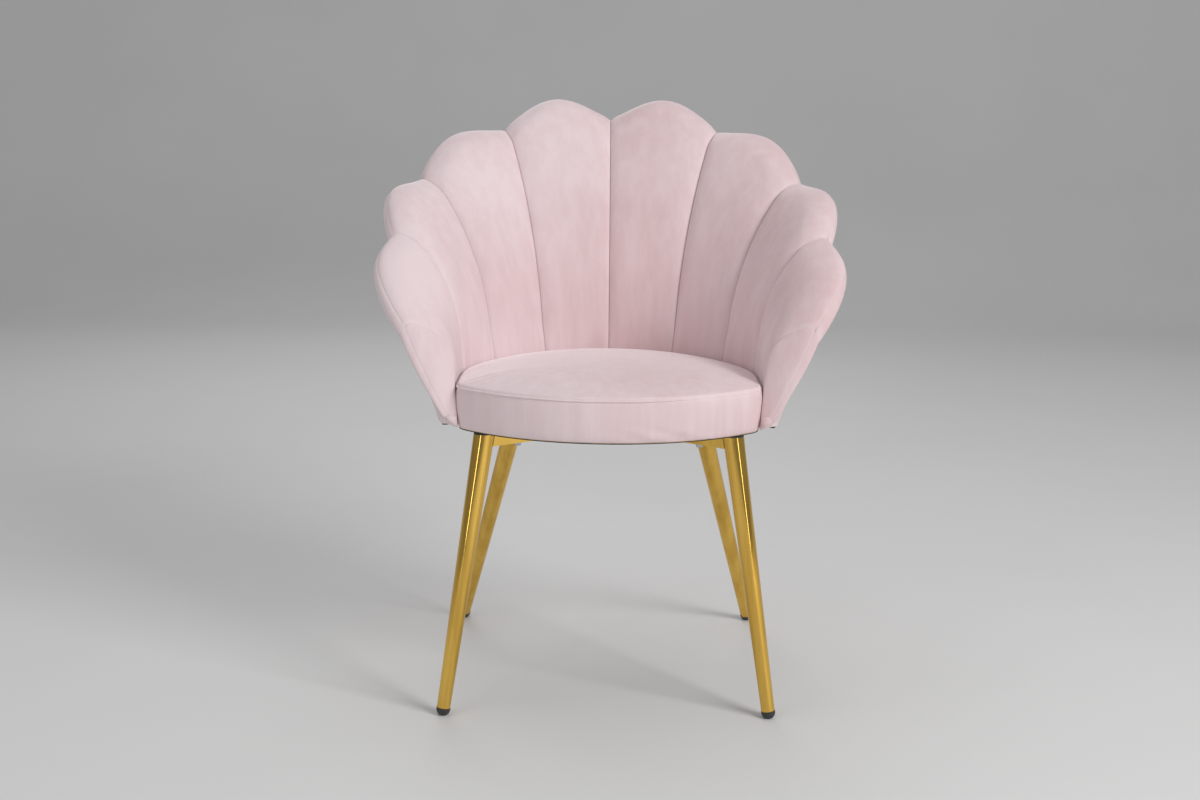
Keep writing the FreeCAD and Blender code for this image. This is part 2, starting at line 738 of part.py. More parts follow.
shell_board = ring_of_petals(board_section, SEAMS - 1)
screw_hole = size("screw_radius") + HOLE_GAP
head_hole = size("screw_head_radius") + HOLE_GAP
add_shape("shell_board", shell_board.cut(screw_shapes(screw_hole, head_hole, PAST)))
add_shape("shell_screws", screw_shapes(size("screw_radius"), size("screw_head_radius"), 0.0))
add_shape("back_foam", ring_of_petals(back_foam_section, SEAMS - 1))
add_shape("back_cover", ring_of_petals(back_cover_section, SEAMS))
for petal in PETALS:
    foam = petal_loft(foam_section, petal, SEAM_EDGE_SHARE)
    cover = petal_loft(cover_section, petal, SEAM_EDGE_SHARE)
    for side_name, side in SIDES:
        side_foam = foam if side > 0 else mirrored(foam)
        side_cover = cover if side > 0 else mirrored(cover)
        add_shape("petal_foam_%s_%d" % (side_name, petal), side_foam)
        add_shape("petal_cover_%s_%d" % (side_name, petal), side_cover)


# Legs: tapered round tubes, open at both ends, cut level under their caps.


def primitive(kind, name, values, placement):
    """Part primitive; a value is a number or the alias of a cell."""
    obj = doc.addObject(kind, name)
    for prop, value in values.items():
        if isinstance(value, str):
            obj.setExpression(prop, value)
        else:
            setattr(obj, prop, value)
    obj.Placement = placement
    return obj


def cut(name, base, tool):
    obj = doc.addObject("Part::Cut", name)
    obj.Base = base
    obj.Tool = tool
    return obj


def joined(name, shapes):
    obj = doc.addObject("Part::MultiFuse", name)
    obj.Shapes = shapes
    return obj


def on_axis(point, rotation=Rotation()):
    return Placement(point + AXIS.Base, rotation)


LEG_OVERSHOOT = 20.0
CLIP = 120.0


def leg_cone(leg, name, change):
    """Cone along a leg; change is added to both radii, as an expression's text."""
    start_along = size("glide_collar_thickness") + GAP
    start = leg.foot + leg.direction * start_along
    values = {
        "Radius1": cell("leg_foot_radius") + change,
        "Radius2": cell("leg_top_radius") + change,
        "Height": leg.length - start_along + LEG_OVERSHOOT,
    }
    return primitive("Part::Cone", name, values, on_axis(start, leg.rotation))


for leg in LEGS:
    outer = leg_cone(leg, "leg_outer_" + leg.name, "")
    inner = leg_cone(leg, "leg_bore_" + leg.name, " - " + cell("leg_wall"))
    corner = Vector(leg.top.x - CLIP / 2, leg.top.y - CLIP / 2, LEG_TOP)
    above = primitive("Part::Box", "leg_above_" + leg.name,
                      {"Length": CLIP, "Width": CLIP, "Height": CLIP}, on_axis(corner))
    tools = joined("leg_tools_" + leg.name, [inner, above])
    keep(cut("leg_solid_" + leg.name, outer, tools), "leg_" + leg.name)


# Bodies turned from a sketch


class Amount:
    """Sum of cells, each with a factor: its number and its expression."""

    def __init__(self, *terms):
        self.value = sum(factor * size(alias) for factor, alias in terms)
        self.expression = " + ".join("%g * %s" % (factor, cell(alias)) for factor, alias in terms)


NOUGHT = Amount()


def origin_plane(body, role):
    return [item for item in body.Origin.OriginFeatures if item.Role == role][0]


def fix_point(sketch, geometry, across, up):
    """Dimension the start of a line from the sketch's axes, bound to the sheet."""
    for kind, axis, place in (("DistanceX", -2, across), ("DistanceY", -1, up)):
        if place is NOUGHT:
            sketch.addConstraint(Sketcher.Constraint("PointOnObject", geometry, 1, axis))
        else:
            index = sketch.addConstraint(Sketcher.Constraint(kind, -1, 1, geometry, 1, place.value))
            sketch.setExpression("Constraints[%d]" % index, place.expression)


def turned_body(name, places, dome=False):
    """Body turned about its upright axis; with a dome, the first side is a quarter circle about the origin."""
    body = doc.addObject("PartDesign::Body", name)
    sketch = body.newObject("Sketcher::SketchObject", name + "_outline")
    sketch.AttachmentSupport = [(origin_plane(body, "XZ_Plane"), "")]
    sketch.MapMode = "FlatFace"
    corners = [Vector(across.value, up.value, 0) for across, up in places]
    sides = len(corners)
    for index, corner in enumerate(corners):
        following = corners[(index + 1) % sides]
        if dome and index == 0:
            circle = Part.Circle(Vector(0, 0, 0), Vector(0, 0, 1), following.x)
            sketch.addGeometry(Part.ArcOfCircle(circle, 1.5 * math.pi, 2 * math.pi))
            sketch.addConstraint(Sketcher.Constraint("Coincident", 0, 3, -1, 1))
        else:
            sketch.addGeometry(Part.LineSegment(corner, following))
    for index in range(sides):
        sketch.addConstraint(Sketcher.Constraint("Coincident", index, 2, (index + 1) % sides, 1))
    for index, (across, up) in enumerate(places):
        if dome and index == 1:
            sketch.addConstraint(Sketcher.Constraint("PointOnObject", index, 1, -1))
        else:
            fix_point(sketch, index, across, up)
    turn = body.newObject("PartDesign::Revolution", name + "_turn")
    turn.Profile = sketch
    turn.ReferenceAxis = (sketch, ["V_Axis"])
    turn.Angle = 360
    return body


def group(label, master, places):
    """Equal solids in one node, copied from a master shape."""
    copies = []
    for place in places:
        copy = master.Shape.copy()
        copy.Placement = on_axis(place).multiply(copy.Placement)
        copies.append(copy)
    obj = doc.addObject("Part::Feature", label)
    obj.Shape = Part.makeCompound(copies)
    return keep(obj, label)


# Glides: a dome cut flat on the floor, a collar under the tube and a stem inside it.

def glide_body(leg):
    collar_top = Amount((1, "glide_collar_thickness"))
    stem_top = Amount((1, "glide_collar_thickness"), (1, "glide_stem_length"))
    ball = Amount((1, "glide_radius"))
    stem = Amount((1, "leg_foot_radius"), (-1, "leg_wall"), (-1, "glide_stem_gap"))
    places = [
        (NOUGHT, Amount((-1, "glide_radius"))),
        (ball, NOUGHT),
        (ball, collar_top),
        (stem, collar_top),
        (stem, stem_top),
        (NOUGHT, stem_top),
    ]
    body = turned_body("glide_solid_" + leg.name, places, dome=True)
    body.Placement = on_axis(leg.foot, leg.rotation)
    return body


for leg in LEGS:
    under = primitive("Part::Box", "under_floor_" + leg.name, {"Length": CLIP, "Width": CLIP, "Height": CLIP},
                      on_axis(Vector(leg.foot.x - CLIP / 2, leg.foot.y - CLIP / 2, -CLIP)))
    keep(cut("glide_cut_" + leg.name, glide_body(leg), under), "glide_" + leg.name)

for leg in LEGS:
    disc = primitive("Part::Cylinder", "leg_cap_disc_" + leg.name,
                     {"Radius": cell("leg_top_radius") + " - " + cell("leg_cap_inset"),
                      "Height": cell("leg_cap_thickness")}, on_axis(leg.top))
    keep(disc, "leg_cap_" + leg.name)

# Cross frame: one whole square tube and two halves that meet it, all fitted round the leg tops.


def tube_parts(name, start_leg, end_leg):
    """Outside and bore of a square tube between two leg axes, and the placement of its corner."""
    start = bar_end(start_leg)
    end = bar_end(end_leg)
    along = (end - start).normalize()
    across = Vector(0, 0, 1).cross(along)
    rotation = Rotation(along, across, Vector(0, 0, 1), "XYZ")
    length = (end - start).Length
    corner = start - across * (BAR / 2)
    outside = primitive("Part::Box", name + "_outside",
                        {"Length": length, "Width": cell("bar_width"), "Height": cell("bar_width")},
                        on_axis(corner, rotation))
    inside_width = cell("bar_width") + " - 2 * " + cell("bar_wall")
    wall = size("bar_wall")
    inner_corner = corner - along * PAST + across * wall + Vector(0, 0, wall)
    inside = primitive("Part::Box", name + "_inside",
                       {"Length": length + 2 * PAST, "Width": inside_width, "Height": inside_width},
                       on_axis(inner_corner, rotation))
    return outside, inside


def leg_room(leg_name, bar_name):
    return leg_cone(LEG_BY_NAME[leg_name], "room_" + leg_name + "_" + bar_name, " + " + cell("fit_gap"))


def bolt_room(name):
    """Clearance holes for the bolts through the bars."""
    holes = []
    for index, place in enumerate(BOLTS):
        hole = primitive("Part::Cylinder", "%s_hole_%d" % (name, index),
                         {"Radius": cell("bolt_radius") + " + " + cell("hole_gap"), "Height": BAR + 2 * PAST},
                         on_axis(place + Vector(0, 0, BAR_BOTTOM - PAST)))
        holes.append(hole)
    return holes


def cross_bar(label, start_leg, end_leg, extra):
    outside, inside = tube_parts(label, start_leg, end_leg)
    tools = [inside, leg_room(start_leg, label), leg_room(end_leg, label)] + bolt_room(label) + extra
    return keep(cut(label + "_solid", outside, joined(label + "_tools", tools)), label)


def half_room(name, start_leg, end_leg, keep_start):
    """Everything on the far side of the whole bar, which a half bar stops at."""
    start = bar_end(start_leg)
    end = bar_end(end_leg)
    along = (end - start).normalize()
    across = Vector(0, 0, 1).cross(along)
    rotation = Rotation(along, across, Vector(0, 0, 1), "XYZ")
    reach = (end - start).Length
    side = -BAR / 2 - GAP if keep_start else BAR / 2 + GAP - reach
    corner = start + across * side - Vector(0, 0, PAST)
    return primitive("Part::Box", name, {"Length": reach, "Width": reach, "Height": BAR + 2 * PAST},
                     on_axis(corner, rotation))


cross_bar("cross_bar_long", "front_left", "rear_right", [])
cross_bar("cross_bar_half_front", "front_right", "rear_left",
          [half_room("front_half_stop", "front_left", "rear_right", True)])
cross_bar("cross_bar_half_rear", "front_right", "rear_left",
          [half_room("rear_half_stop", "front_left", "rear_right", False)])

# Bolts from below, with washers, into tee nuts on the base board

HEAD_BOTTOM = BAR_BOTTOM - size("washer_thickness") - size("bolt_head_height")
NUT_TOP = BASE_TOP + size("tee_nut_flange_thickness")
head = primitive("Part::Prism", "bolt_head",
                 {"Polygon": 6, "Circumradius": cell("bolt_head_radius"), "Height": cell("bolt_head_height")},
                 Placement())
shank = primitive("Part::Cylinder", "bolt_shank",
                  {"Radius": cell("bolt_radius"), "Height": NUT_TOP + size("bolt_tip_length") - HEAD_BOTTOM}, Placement())
bolt = joined("bolt", [head, shank])
washer = turned_body("washer", [
    (Amount((1, "bolt_radius"), (1, "hole_gap")), NOUGHT),
    (Amount((1, "washer_radius")), NOUGHT),
    (Amount((1, "washer_radius")), Amount((1, "washer_thickness"))),
    (Amount((1, "bolt_radius"), (1, "hole_gap")), Amount((1, "washer_thickness"))),
])
tee_nut = turned_body("tee_nut", [
    (Amount((1, "bolt_radius"), (1, "hole_gap")), Amount((-1, "tee_nut_barrel_length"))),
    (Amount((1, "tee_nut_barrel_radius")), Amount((-1, "tee_nut_barrel_length"))),
    (Amount((1, "tee_nut_barrel_radius")), NOUGHT),
    (Amount((1, "tee_nut_radius")), NOUGHT),
    (Amount((1, "tee_nut_radius")), Amount((1, "tee_nut_flange_thickness"))),
    (Amount((1, "bolt_radius"), (1, "hole_gap")), Amount((1, "tee_nut_flange_thickness"))),
])
doc.recompute()
group("frame_bolts", bolt, [place + Vector(0, 0, HEAD_BOTTOM) for place in BOLTS])
group("frame_washers", washer, [place + Vector(0, 0, BAR_BOTTOM - size("washer_thickness")) for place in BOLTS])
group("tee_nuts", tee_nut, [place + Vector(0, 0, BASE_TOP) for place in BOLTS])

# Check every object, then write one file for each sub-part.

doc.recompute()
for obj in doc.Objects:
    if "Invalid" in obj.State or "Error" in obj.State:
        raise RuntimeError("failed object: " + obj.Label)
for obj in sub_parts:
    if obj.Shape.isNull() or not obj.Shape.isValid() or not obj.Shape.Solids:
        raise RuntimeError("bad shape: " + obj.Label)
os.makedirs("parts", exist_ok=True)
for obj in sub_parts:
    obj.Shape.exportStep("parts/%s.step" % obj.Label)
print("sub-parts:", len(sub_parts))
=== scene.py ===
import math
from collections import namedtuple

import bmesh
import bpy
import numpy as np
from mathutils import Matrix, Vector, noise


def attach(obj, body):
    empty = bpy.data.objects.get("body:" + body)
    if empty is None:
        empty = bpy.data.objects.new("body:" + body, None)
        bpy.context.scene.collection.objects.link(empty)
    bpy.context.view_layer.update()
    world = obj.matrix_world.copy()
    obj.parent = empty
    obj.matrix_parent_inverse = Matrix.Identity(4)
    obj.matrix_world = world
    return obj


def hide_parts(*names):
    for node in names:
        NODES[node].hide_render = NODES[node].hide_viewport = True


bl_info = {
    "name": "Scallop back armchair dressing",
    "version": (1, 0, 0),
    "blender": (4, 5, 0),
    "location": "3D View > Sidebar > Armchair",
    "description": "Velvet, gold legs and a plain studio for the chair's frame",
    "category": "Object",
}

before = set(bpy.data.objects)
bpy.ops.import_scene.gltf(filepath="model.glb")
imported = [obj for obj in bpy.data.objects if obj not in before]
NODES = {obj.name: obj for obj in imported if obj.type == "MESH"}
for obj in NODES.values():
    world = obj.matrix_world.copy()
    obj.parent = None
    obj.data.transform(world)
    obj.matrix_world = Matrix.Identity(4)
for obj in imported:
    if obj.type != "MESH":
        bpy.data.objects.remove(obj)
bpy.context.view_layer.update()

BODY = "root"
SIDES = (("left", -1), ("right", 1))
MM = 0.001

# The shell is drawn in upright sections through its own axis, in millimetres and degrees.
# A direction is an angle from upright that leans outward: 0 is up, 90 outward, 180 down.
AXIS_Y = -112.52
BASE = 403.1
BOARD_TOP = 418.1
SEAT_SEAM = 461.0
GAP = 0.3
SKIN = 1.5
BOARD_INNER = 14.8
RIM_DIRECTION = 135.0
LEVEL = 90.0
DOWN = 180.0

Seam = namedtuple("Seam", "angle crest_radius crest_height lip_radius lip_lean"
                          " roll_radius outer_lean foot wall_top")
SEAMS = (
    Seam(0.0, 376.0, 822.0, 50.0, 36.0, 18.0, 33.0, 30.0, SEAT_SEAM),
    Seam(26.5, 377.0, 804.0, 50.0, 36.0, 18.0, 33.0, 30.0, SEAT_SEAM),
    Seam(52.0, 360.0, 733.1, 60.0, 43.0, 18.0, 33.0, 30.0, SEAT_SEAM),
    Seam(78.0, 312.0, 664.1, 50.0, 43.0, 18.0, 33.0, 30.0, SEAT_SEAM),
    Seam(103.5, 283.1, 552.1, 60.0, 50.0, 18.0, 40.0, 27.0, SEAT_SEAM),
    Seam(112.5, 240.0, 426.0, 14.0, 50.0, 8.0, 22.0, 17.0, 414.5),
)
Petal = namedtuple("Petal", "rise reach skew")
PETALS = (
    Petal(33.0, 18.0, 0.0),
    Petal(25.0, 15.0, 0.4),
    Petal(19.0, 17.0, 0.4),
    Petal(12.0, 21.0, -0.1),
    Petal(3.0, 2.0, 0.0),
)
WING = len(PETALS)
PETAL_CROWN = 8.0
SCALLOP_HALF_ANGLE = math.radians(50)
UPPER_WAVE = 0.6
LOWER_WAVE = 0.35

# Seat plan, from the shell's axis
SEAT_HALF = 216.0
SEAT_FRONT = 180.0
SEAT_FRONT_RADIUS = 290.0
SEAT_CORNER = 45.0
SEAT_GAP = 0.4
SEAT_BULGE = 3.0
CORNER_X = SEAT_HALF - SEAT_CORNER
FRONT_CENTRE_Y = SEAT_FRONT_RADIUS - SEAT_FRONT
CORNER_Y = FRONT_CENTRE_Y - math.sqrt((SEAT_FRONT_RADIUS - SEAT_CORNER) ** 2 - CORNER_X ** 2)
CORNER_TURN = math.atan2(CORNER_X, FRONT_CENTRE_Y - CORNER_Y)


def length_prop(name, description, default, top):
    return bpy.props.FloatProperty(name=name, description=description, default=default,
                                   min=0.0, max=top, precision=4, unit="LENGTH")


def pressure_prop(name, description, default):
    return bpy.props.FloatProperty(name=name, description=description, default=default, min=0.0)


def angle_prop(name, description, degrees):
    return bpy.props.FloatProperty(name=name, description=description,
                                   default=math.radians(degrees), subtype="ANGLE")


def power_prop(name, description, default):
    return bpy.props.FloatProperty(name=name, description=description, default=default,
                                   min=0.0, unit="POWER")


def colour_prop(name, description, default):
    return bpy.props.FloatVectorProperty(name=name, description=description, default=default,
                                         size=3, min=0.0, max=1.0, subtype="COLOR")


class ArmchairPadding(bpy.types.PropertyGroup):
    petal_swell: length_prop(
        "Petal swell", "Most that a petal's front may stand proud of the frame", 0.0045, 0.02)
    petal_pressure: pressure_prop(
        "Petal pressure", "Push of the filling behind a petal's velvet", 4.0)
    petal_roundness: length_prop(
        "Petal roundness", "Fall of a petal's face from its middle to its seams", 0.006, 0.01)
    seam_depth: length_prop(
        "Seam depth", "Depth of the groove where two petals are sewn together", 0.0036, 0.01)
    seam_width: length_prop(
        "Seam width", "How quickly the velvet rises out of a seam", 0.0028, 0.01)
    rim_depth: length_prop(
        "Rim seam depth", "Depth of the seam between a petal and the outer cover", 0.0011, 0.004)
    back_seam_depth: length_prop(
        "Back seam depth", "Depth of the seams down the outer cover", 0.0011, 0.004)
    seat_swell: length_prop(
        "Seat swell", "Most that the seat's velvet may stand proud of the frame", 0.004, 0.02)
    seat_pressure: pressure_prop(
        "Seat pressure", "Push of the foam under the seat's velvet", 3.0)
    pucker_height: length_prop(
        "Pucker height", "Height of the small folds low on the seat's band", 0.0022, 0.005)


class ArmchairColours(bpy.types.PropertyGroup):
    velvet: colour_prop("Velvet", "Velvet seen along its pile", (0.69, 0.50, 0.51))
    # This lighter velvet is also the painted light that makes the chair's left side lighter
    velvet_brushed_and_lit: colour_prop(
        "Brushed velvet", "Velvet where its pile leans the other way", (0.82, 0.68, 0.695))
    # Paler velvet for the painted sheen highlight at seams and folds, with the parted pile
    velvet_fold_sheen: colour_prop(
        "Velvet edge", "Velvet where a fold parts the pile", (0.88, 0.78, 0.79))
    gold: colour_prop("Gold", "Polished plating of the legs and bars", (0.80, 0.51, 0.11))
    # Darker gold for the reflection streaks painted along the legs
    gold_reflection_streak: colour_prop("Deep gold", "Darker tone in the plating", (0.50, 0.27, 0.04))
    birch: colour_prop("Plywood", "Face of the plywood boards", (0.62, 0.44, 0.26))
    foam: colour_prop("Foam", "Upholstery foam", (0.86, 0.80, 0.62))
    lining: colour_prop("Lining", "Black cloth under the seat", (0.012, 0.012, 0.013))
    plastic: colour_prop("Plastic", "Black glides and caps", (0.012, 0.012, 0.012))
    steel: colour_prop("Steel", "Plain zinc-plated fasteners", (0.62, 0.63, 0.65))
    floor: colour_prop("Floor", "Plain pale floor and backdrop", (0.78, 0.775, 0.77))


class ArmchairStudio(bpy.types.PropertyGroup):
    lens: bpy.props.FloatProperty(
        name="Lens", description="Camera's focal length", default=50.0, min=10.0, unit="CAMERA")
    camera_x: length_prop(
        "Camera side", "How far the camera stands left of the middle", 0.0127, 1.0)
    camera_distance: length_prop(
        "Camera distance", "Camera's distance in front of the origin", 2.4775, 10.0)
    camera_height: length_prop(
        "Camera height", "Camera's height above the floor", 0.8849, 5.0)
    camera_tilt: angle_prop("Camera tilt", "How far the camera looks down", 10.908)
    camera_roll: angle_prop("Camera roll", "Turn of the camera about its view", 0.6)
    key_power: power_prop("Key lamp", "Power of the large lamp at the front right", 104.0)
    fill_power: power_prop("Fill lamp", "Power of the lamp at the front left", 8.0)
    top_power: power_prop("Top lamp", "Power of the lamp overhead", 12.0)
    rear_power: power_prop("Rear lamp", "Power of the lamp behind and above", 16.0)
    strip_power: power_prop("Strip lamps", "Power of each upright strip by the legs", 5.0)
    sky: bpy.props.FloatProperty(
        name="Sky", description="Brightness of the even light from all sides",
        default=0.30, min=0.0, max=2.0, subtype="FACTOR")


# Shell sections

def seat_reach(azimuth, clearance):
    """Distance from the axis to the seat's side at an azimuth from the back."""
    half = SEAT_HALF + clearance
    if azimuth <= LEVEL:
        return half
    turn = math.radians(azimuth)
    along_side = half / math.sin(turn)
    if along_side * math.cos(turn) >= CORNER_Y:
        return along_side
    across = CORNER_X * math.sin(turn) + CORNER_Y * math.cos(turn)
    square = CORNER_X ** 2 + CORNER_Y ** 2
    return across + math.sqrt(across ** 2 - square + (SEAT_CORNER + clearance) ** 2)


def through(field, petal, share):
    """Smooth curve through a field of the seams; the back is mirror-even about the middle seam."""
    values = [getattr(seam, field) for seam in SEAMS]
    before = values[petal - 2] if petal > 1 else values[1]
    start = values[petal - 1]
    end = values[petal]
    after = values[petal + 1] if petal < WING else 2 * end - start
    slope_in = (end - before) / 2
    slope_out = (after - start) / 2
    a = 2 * start - 2 * end + slope_in + slope_out
    b = 3 * (end - start) - 2 * slope_in - slope_out
    return ((a * share + b) * share + slope_in) * share + start


def scallop(share):
    """Height of a petal's end over its chord: an arch that runs out into both seams as a wave."""
    radius = 1 / math.sin(SCALLOP_HALF_ANGLE)
    chord = radius * math.cos(SCALLOP_HALF_ANGLE)
    arch = (math.sqrt(radius ** 2 - (2 * share - 1) ** 2) - chord) / (radius - chord)
    wave = math.sin(math.pi * share) ** 2
    return arch + (wave - arch) * (UPPER_WAVE + (LOWER_WAVE - UPPER_WAVE) * share)


class Bend:
    """Arc in a section; its points are given by the direction of the cloth there."""

    def __init__(self, r, z, radius, start, end):
        self.r, self.z, self.radius, self.start, self.end = r, z, radius, start, end

    def at(self, direction, proud=0.0):
        turn = math.radians(direction)
        reach = self.radius + proud
        return self.r - reach * math.cos(turn), self.z + reach * math.sin(turn)

    def length(self, end=None):
        end = self.end if end is None else end
        return abs(self.radius * math.radians(end - self.start))


def bend_between(start, end, end_direction):
    turn = math.radians(end_direction)
    normal = (math.cos(turn), -math.sin(turn))
    dr, dz = end[0] - start[0], end[1] - start[1]
    radius = -(dr ** 2 + dz ** 2) / (2 * (dr * normal[0] + dz * normal[1]))
    chord = math.degrees(math.atan2(dr, dz))
    centre = (end[0] + radius * normal[0], end[1] + radius * normal[1])
    return Bend(centre[0], centre[1], radius, 2 * chord - end_direction, end_direction)


class Section:
    """The shell's outline at one place of one petal: wall, front arc, lip, roll and outer arc."""

    def __init__(self, petal, share):
        start, end = SEAMS[petal - 1], SEAMS[petal]
        shape = PETALS[petal - 1]
        self.azimuth = start.angle + (end.angle - start.angle) * share
        arch = scallop(share) * (1 + shape.skew * (2 * share - 1))
        self.wall = seat_reach(self.azimuth, SEAT_GAP)
        foot = self.wall + through("foot", petal, share)
        crest_r = through("crest_radius", petal, share) + shape.reach * arch
        crest_z = through("crest_height", petal, share) + shape.rise * arch
        lip = through("lip_radius", petal, share) + PETAL_CROWN * (1 - abs(2 * share - 1) ** 3)
        lean = through("lip_lean", petal, share)
        roll = through("roll_radius", petal, share)
        outer = through("outer_lean", petal, share)
        self.lip = Bend(crest_r, crest_z - lip, lip, lean, LEVEL)
        self.roll = Bend(crest_r, crest_z - roll, roll, LEVEL, DOWN + outer)
        lip_start = self.lip.at(lean)
        upright = lip_start[1] - (lip_start[0] - self.wall) / math.tan(math.radians(lean / 2))
        self.wall_top = max(through("wall_top", petal, share), upright)
        self.front = bend_between((self.wall, self.wall_top), lip_start, lean)
        self.back = bend_between((foot, BASE + GAP), self.roll.at(DOWN + outer), outer)
        self.bottom = BASE + GAP if petal == WING else BOARD_TOP + GAP

    def front_line(self, count):
        """Points, outward normals and distances to the rim seam, from the wall's foot up."""
        runs = [(None, self.wall_top - self.bottom)]
        runs += [(self.front, self.front.length()), (self.lip, self.lip.length())]
        runs.append((self.roll, self.roll.length(RIM_DIRECTION)))
        total = sum(length for bend, length in runs)
        line = []
        for step in range(count):
            along = total * step / (count - 1)
            left = along
            for bend, length in runs:
                if left <= length or bend is self.roll:
                    break
                left -= length
            if bend is None:
                line.append((self.wall, self.bottom + left, -1.0, 0.0, total - along))
                continue
            direction = bend.start + math.degrees(left / bend.radius)
            turn = math.radians(direction)
            line.append(bend.at(direction) + (-math.cos(turn), math.sin(turn), total - along))
        return line

    def outer_line(self, count, roll_count, roll_inset, back_inset, bottom):
        """Points and outward normals from the outer arc's foot up to the rim seam.

        The insets lead into the shell; back_inset takes the section and the share of the arc.
        """
        reach = self.back.radius + back_inset(self, 0.0)
        low = math.degrees(math.asin((bottom - self.back.z) / reach))
        line = []
        back_count = count - roll_count
        for step in range(back_count):
            direction = low + (self.back.end - low) * step / back_count
            turn = math.radians(direction)
            inset = back_inset(self, step / back_count)
            line.append(self.back.at(direction, inset) + (math.cos(turn), -math.sin(turn)))
        for step in range(roll_count):
            direction = self.roll.end + (RIM_DIRECTION - self.roll.end) * step / (roll_count - 1)
            turn = math.radians(direction)
            line.append(self.roll.at(direction, -roll_inset) + (-math.cos(turn), math.sin(turn)))
        return line


def no_inset(section, share):
    return 0.0


def in_space(azimuth, r, z):
    """Metres in the chair's frame, for millimetres in a section."""
    turn = math.radians(azimuth)
    return np.array((r * math.sin(turn), r * math.cos(turn) + AXIS_Y, z)) * MM


def smooth_step(value, low, high):
    share = min(max((value - low) / (high - low), 0.0), 1.0)
    return share * share * (3 - 2 * share)


# The shell's foot is drawn in over FOOT_ROUND_HEIGHT, most at the outer face and at the wings.
FOOT_ROUND_HEIGHT = 30.0
FOOT_FULL_WIDTH = 17.0
WING_LIFT = 2.5
SIDE_DRAW = 6.0
WING_DRAW = 10.0
SIDE_AZIMUTHS = (80, 98)
WING_AZIMUTHS = (102, 108)


def tucked_in_space(section, r, z):
    """As in_space, with the foot of the sides and wings pulled in towards the seat."""
    low = min(max(1 - (z - BASE) / FOOT_ROUND_HEIGHT, 0.0), 1.0)
    side = smooth_step(section.azimuth, *SIDE_AZIMUTHS)
    wing = smooth_step(section.azimuth, *WING_AZIMUTHS)
    outward = min(max((r - section.wall) / FOOT_FULL_WIDTH, 0.0), 1.0)
    draw = (SIDE_DRAW * side + WING_DRAW * wing) * outward * (1 - math.sqrt(1 - low ** 2))
    return in_space(section.azimuth, r - draw, z + WING_LIFT * wing * low ** 2)


def across_seams(count):
    """Shares over a petal, closest together at its seams."""
    return [(1 - math.cos(math.pi * step / (count - 1))) / 2 for step in range(count)]


# Velvet at a seam: how wide its pile is parted and painted with a sheen highlight, how much
# of that shows at the rim, and how wide the rim's groove is
PARTED_SHEEN_WIDTH = 3.0
RIM_SHEEN = 0.7
RIM_SEAM_WIDTH = 2.2


def parted_pile_sheen(distance):
    """How far the velvet's pile is parted, with a painted sheen highlight, at a distance from a
    seam.
    """
    return math.exp(-(distance / PARTED_SHEEN_WIDTH) ** 2)


def rim_groove(padding, to_rim):
    return padding.rim_depth / MM * math.exp(-to_rim / RIM_SEAM_WIDTH)


# Meshes

def new_piece(name, points, faces):
    mesh = bpy.data.meshes.new(name)
    mesh.from_pydata([tuple(p) for p in points], [], faces)
    work = bmesh.new()
    work.from_mesh(mesh)
    bmesh.ops.recalc_face_normals(work, faces=work.faces)
    work.to_mesh(mesh)
    work.free()
    mesh.polygons.foreach_set("use_smooth", [True] * len(mesh.polygons))
    piece = bpy.data.objects.new(name, mesh)
    bpy.context.scene.collection.objects.link(piece)
    return piece


def slab_faces(columns, rows):
    """Faces of a closed slab: a front grid, a hidden grid behind it and the four strips between."""
    back = columns * rows
    faces = []
    for c in range(columns - 1):
        for r in range(rows - 1):
            a, b = c * rows + r, (c + 1) * rows + r
            faces.append((a, b, b + 1, a + 1))
            faces.append((back + a, back + a + 1, back + b + 1, back + b))
        for r in (0, rows - 1):
            a, b = c * rows + r, (c + 1) * rows + r
            faces.append((a, back + a, back + b, b))
    for c in (0, columns - 1):
        for r in range(rows - 1):
            a = c * rows + r
            faces.append((a, a + 1, back + a + 1, back + a))
    return faces


def coordinates(mesh):
    flat = np.empty(len(mesh.vertices) * 3)
    mesh.vertices.foreach_get("co", flat)
    return flat.reshape(-1, 3)


def set_coordinates(mesh, points):
    mesh.vertices.foreach_set("co", np.asarray(points, dtype=float).ravel())
    mesh.update()


def mark_fold_sheen(piece, values):
    """Stores how near each vertex is to a seam, for the painted sheen highlight and parted pile in
    the velvet's colour there.
    """
    layer = piece.data.attributes.new("fold", "FLOAT", "POINT")
    layer.data.foreach_set("value", np.asarray(values, dtype=np.float32))


CLOTH_FRAMES = 20
CLOTH_SETTINGS = {
    "quality": 5,
    "mass": 0.3,
    "tension_stiffness": 15.0,
    "compression_stiffness": 15.0,
    "shear_stiffness": 5.0,
    "bending_stiffness": 0.5,
    "use_pressure": True,
    "vertex_group_mass": "held",
}


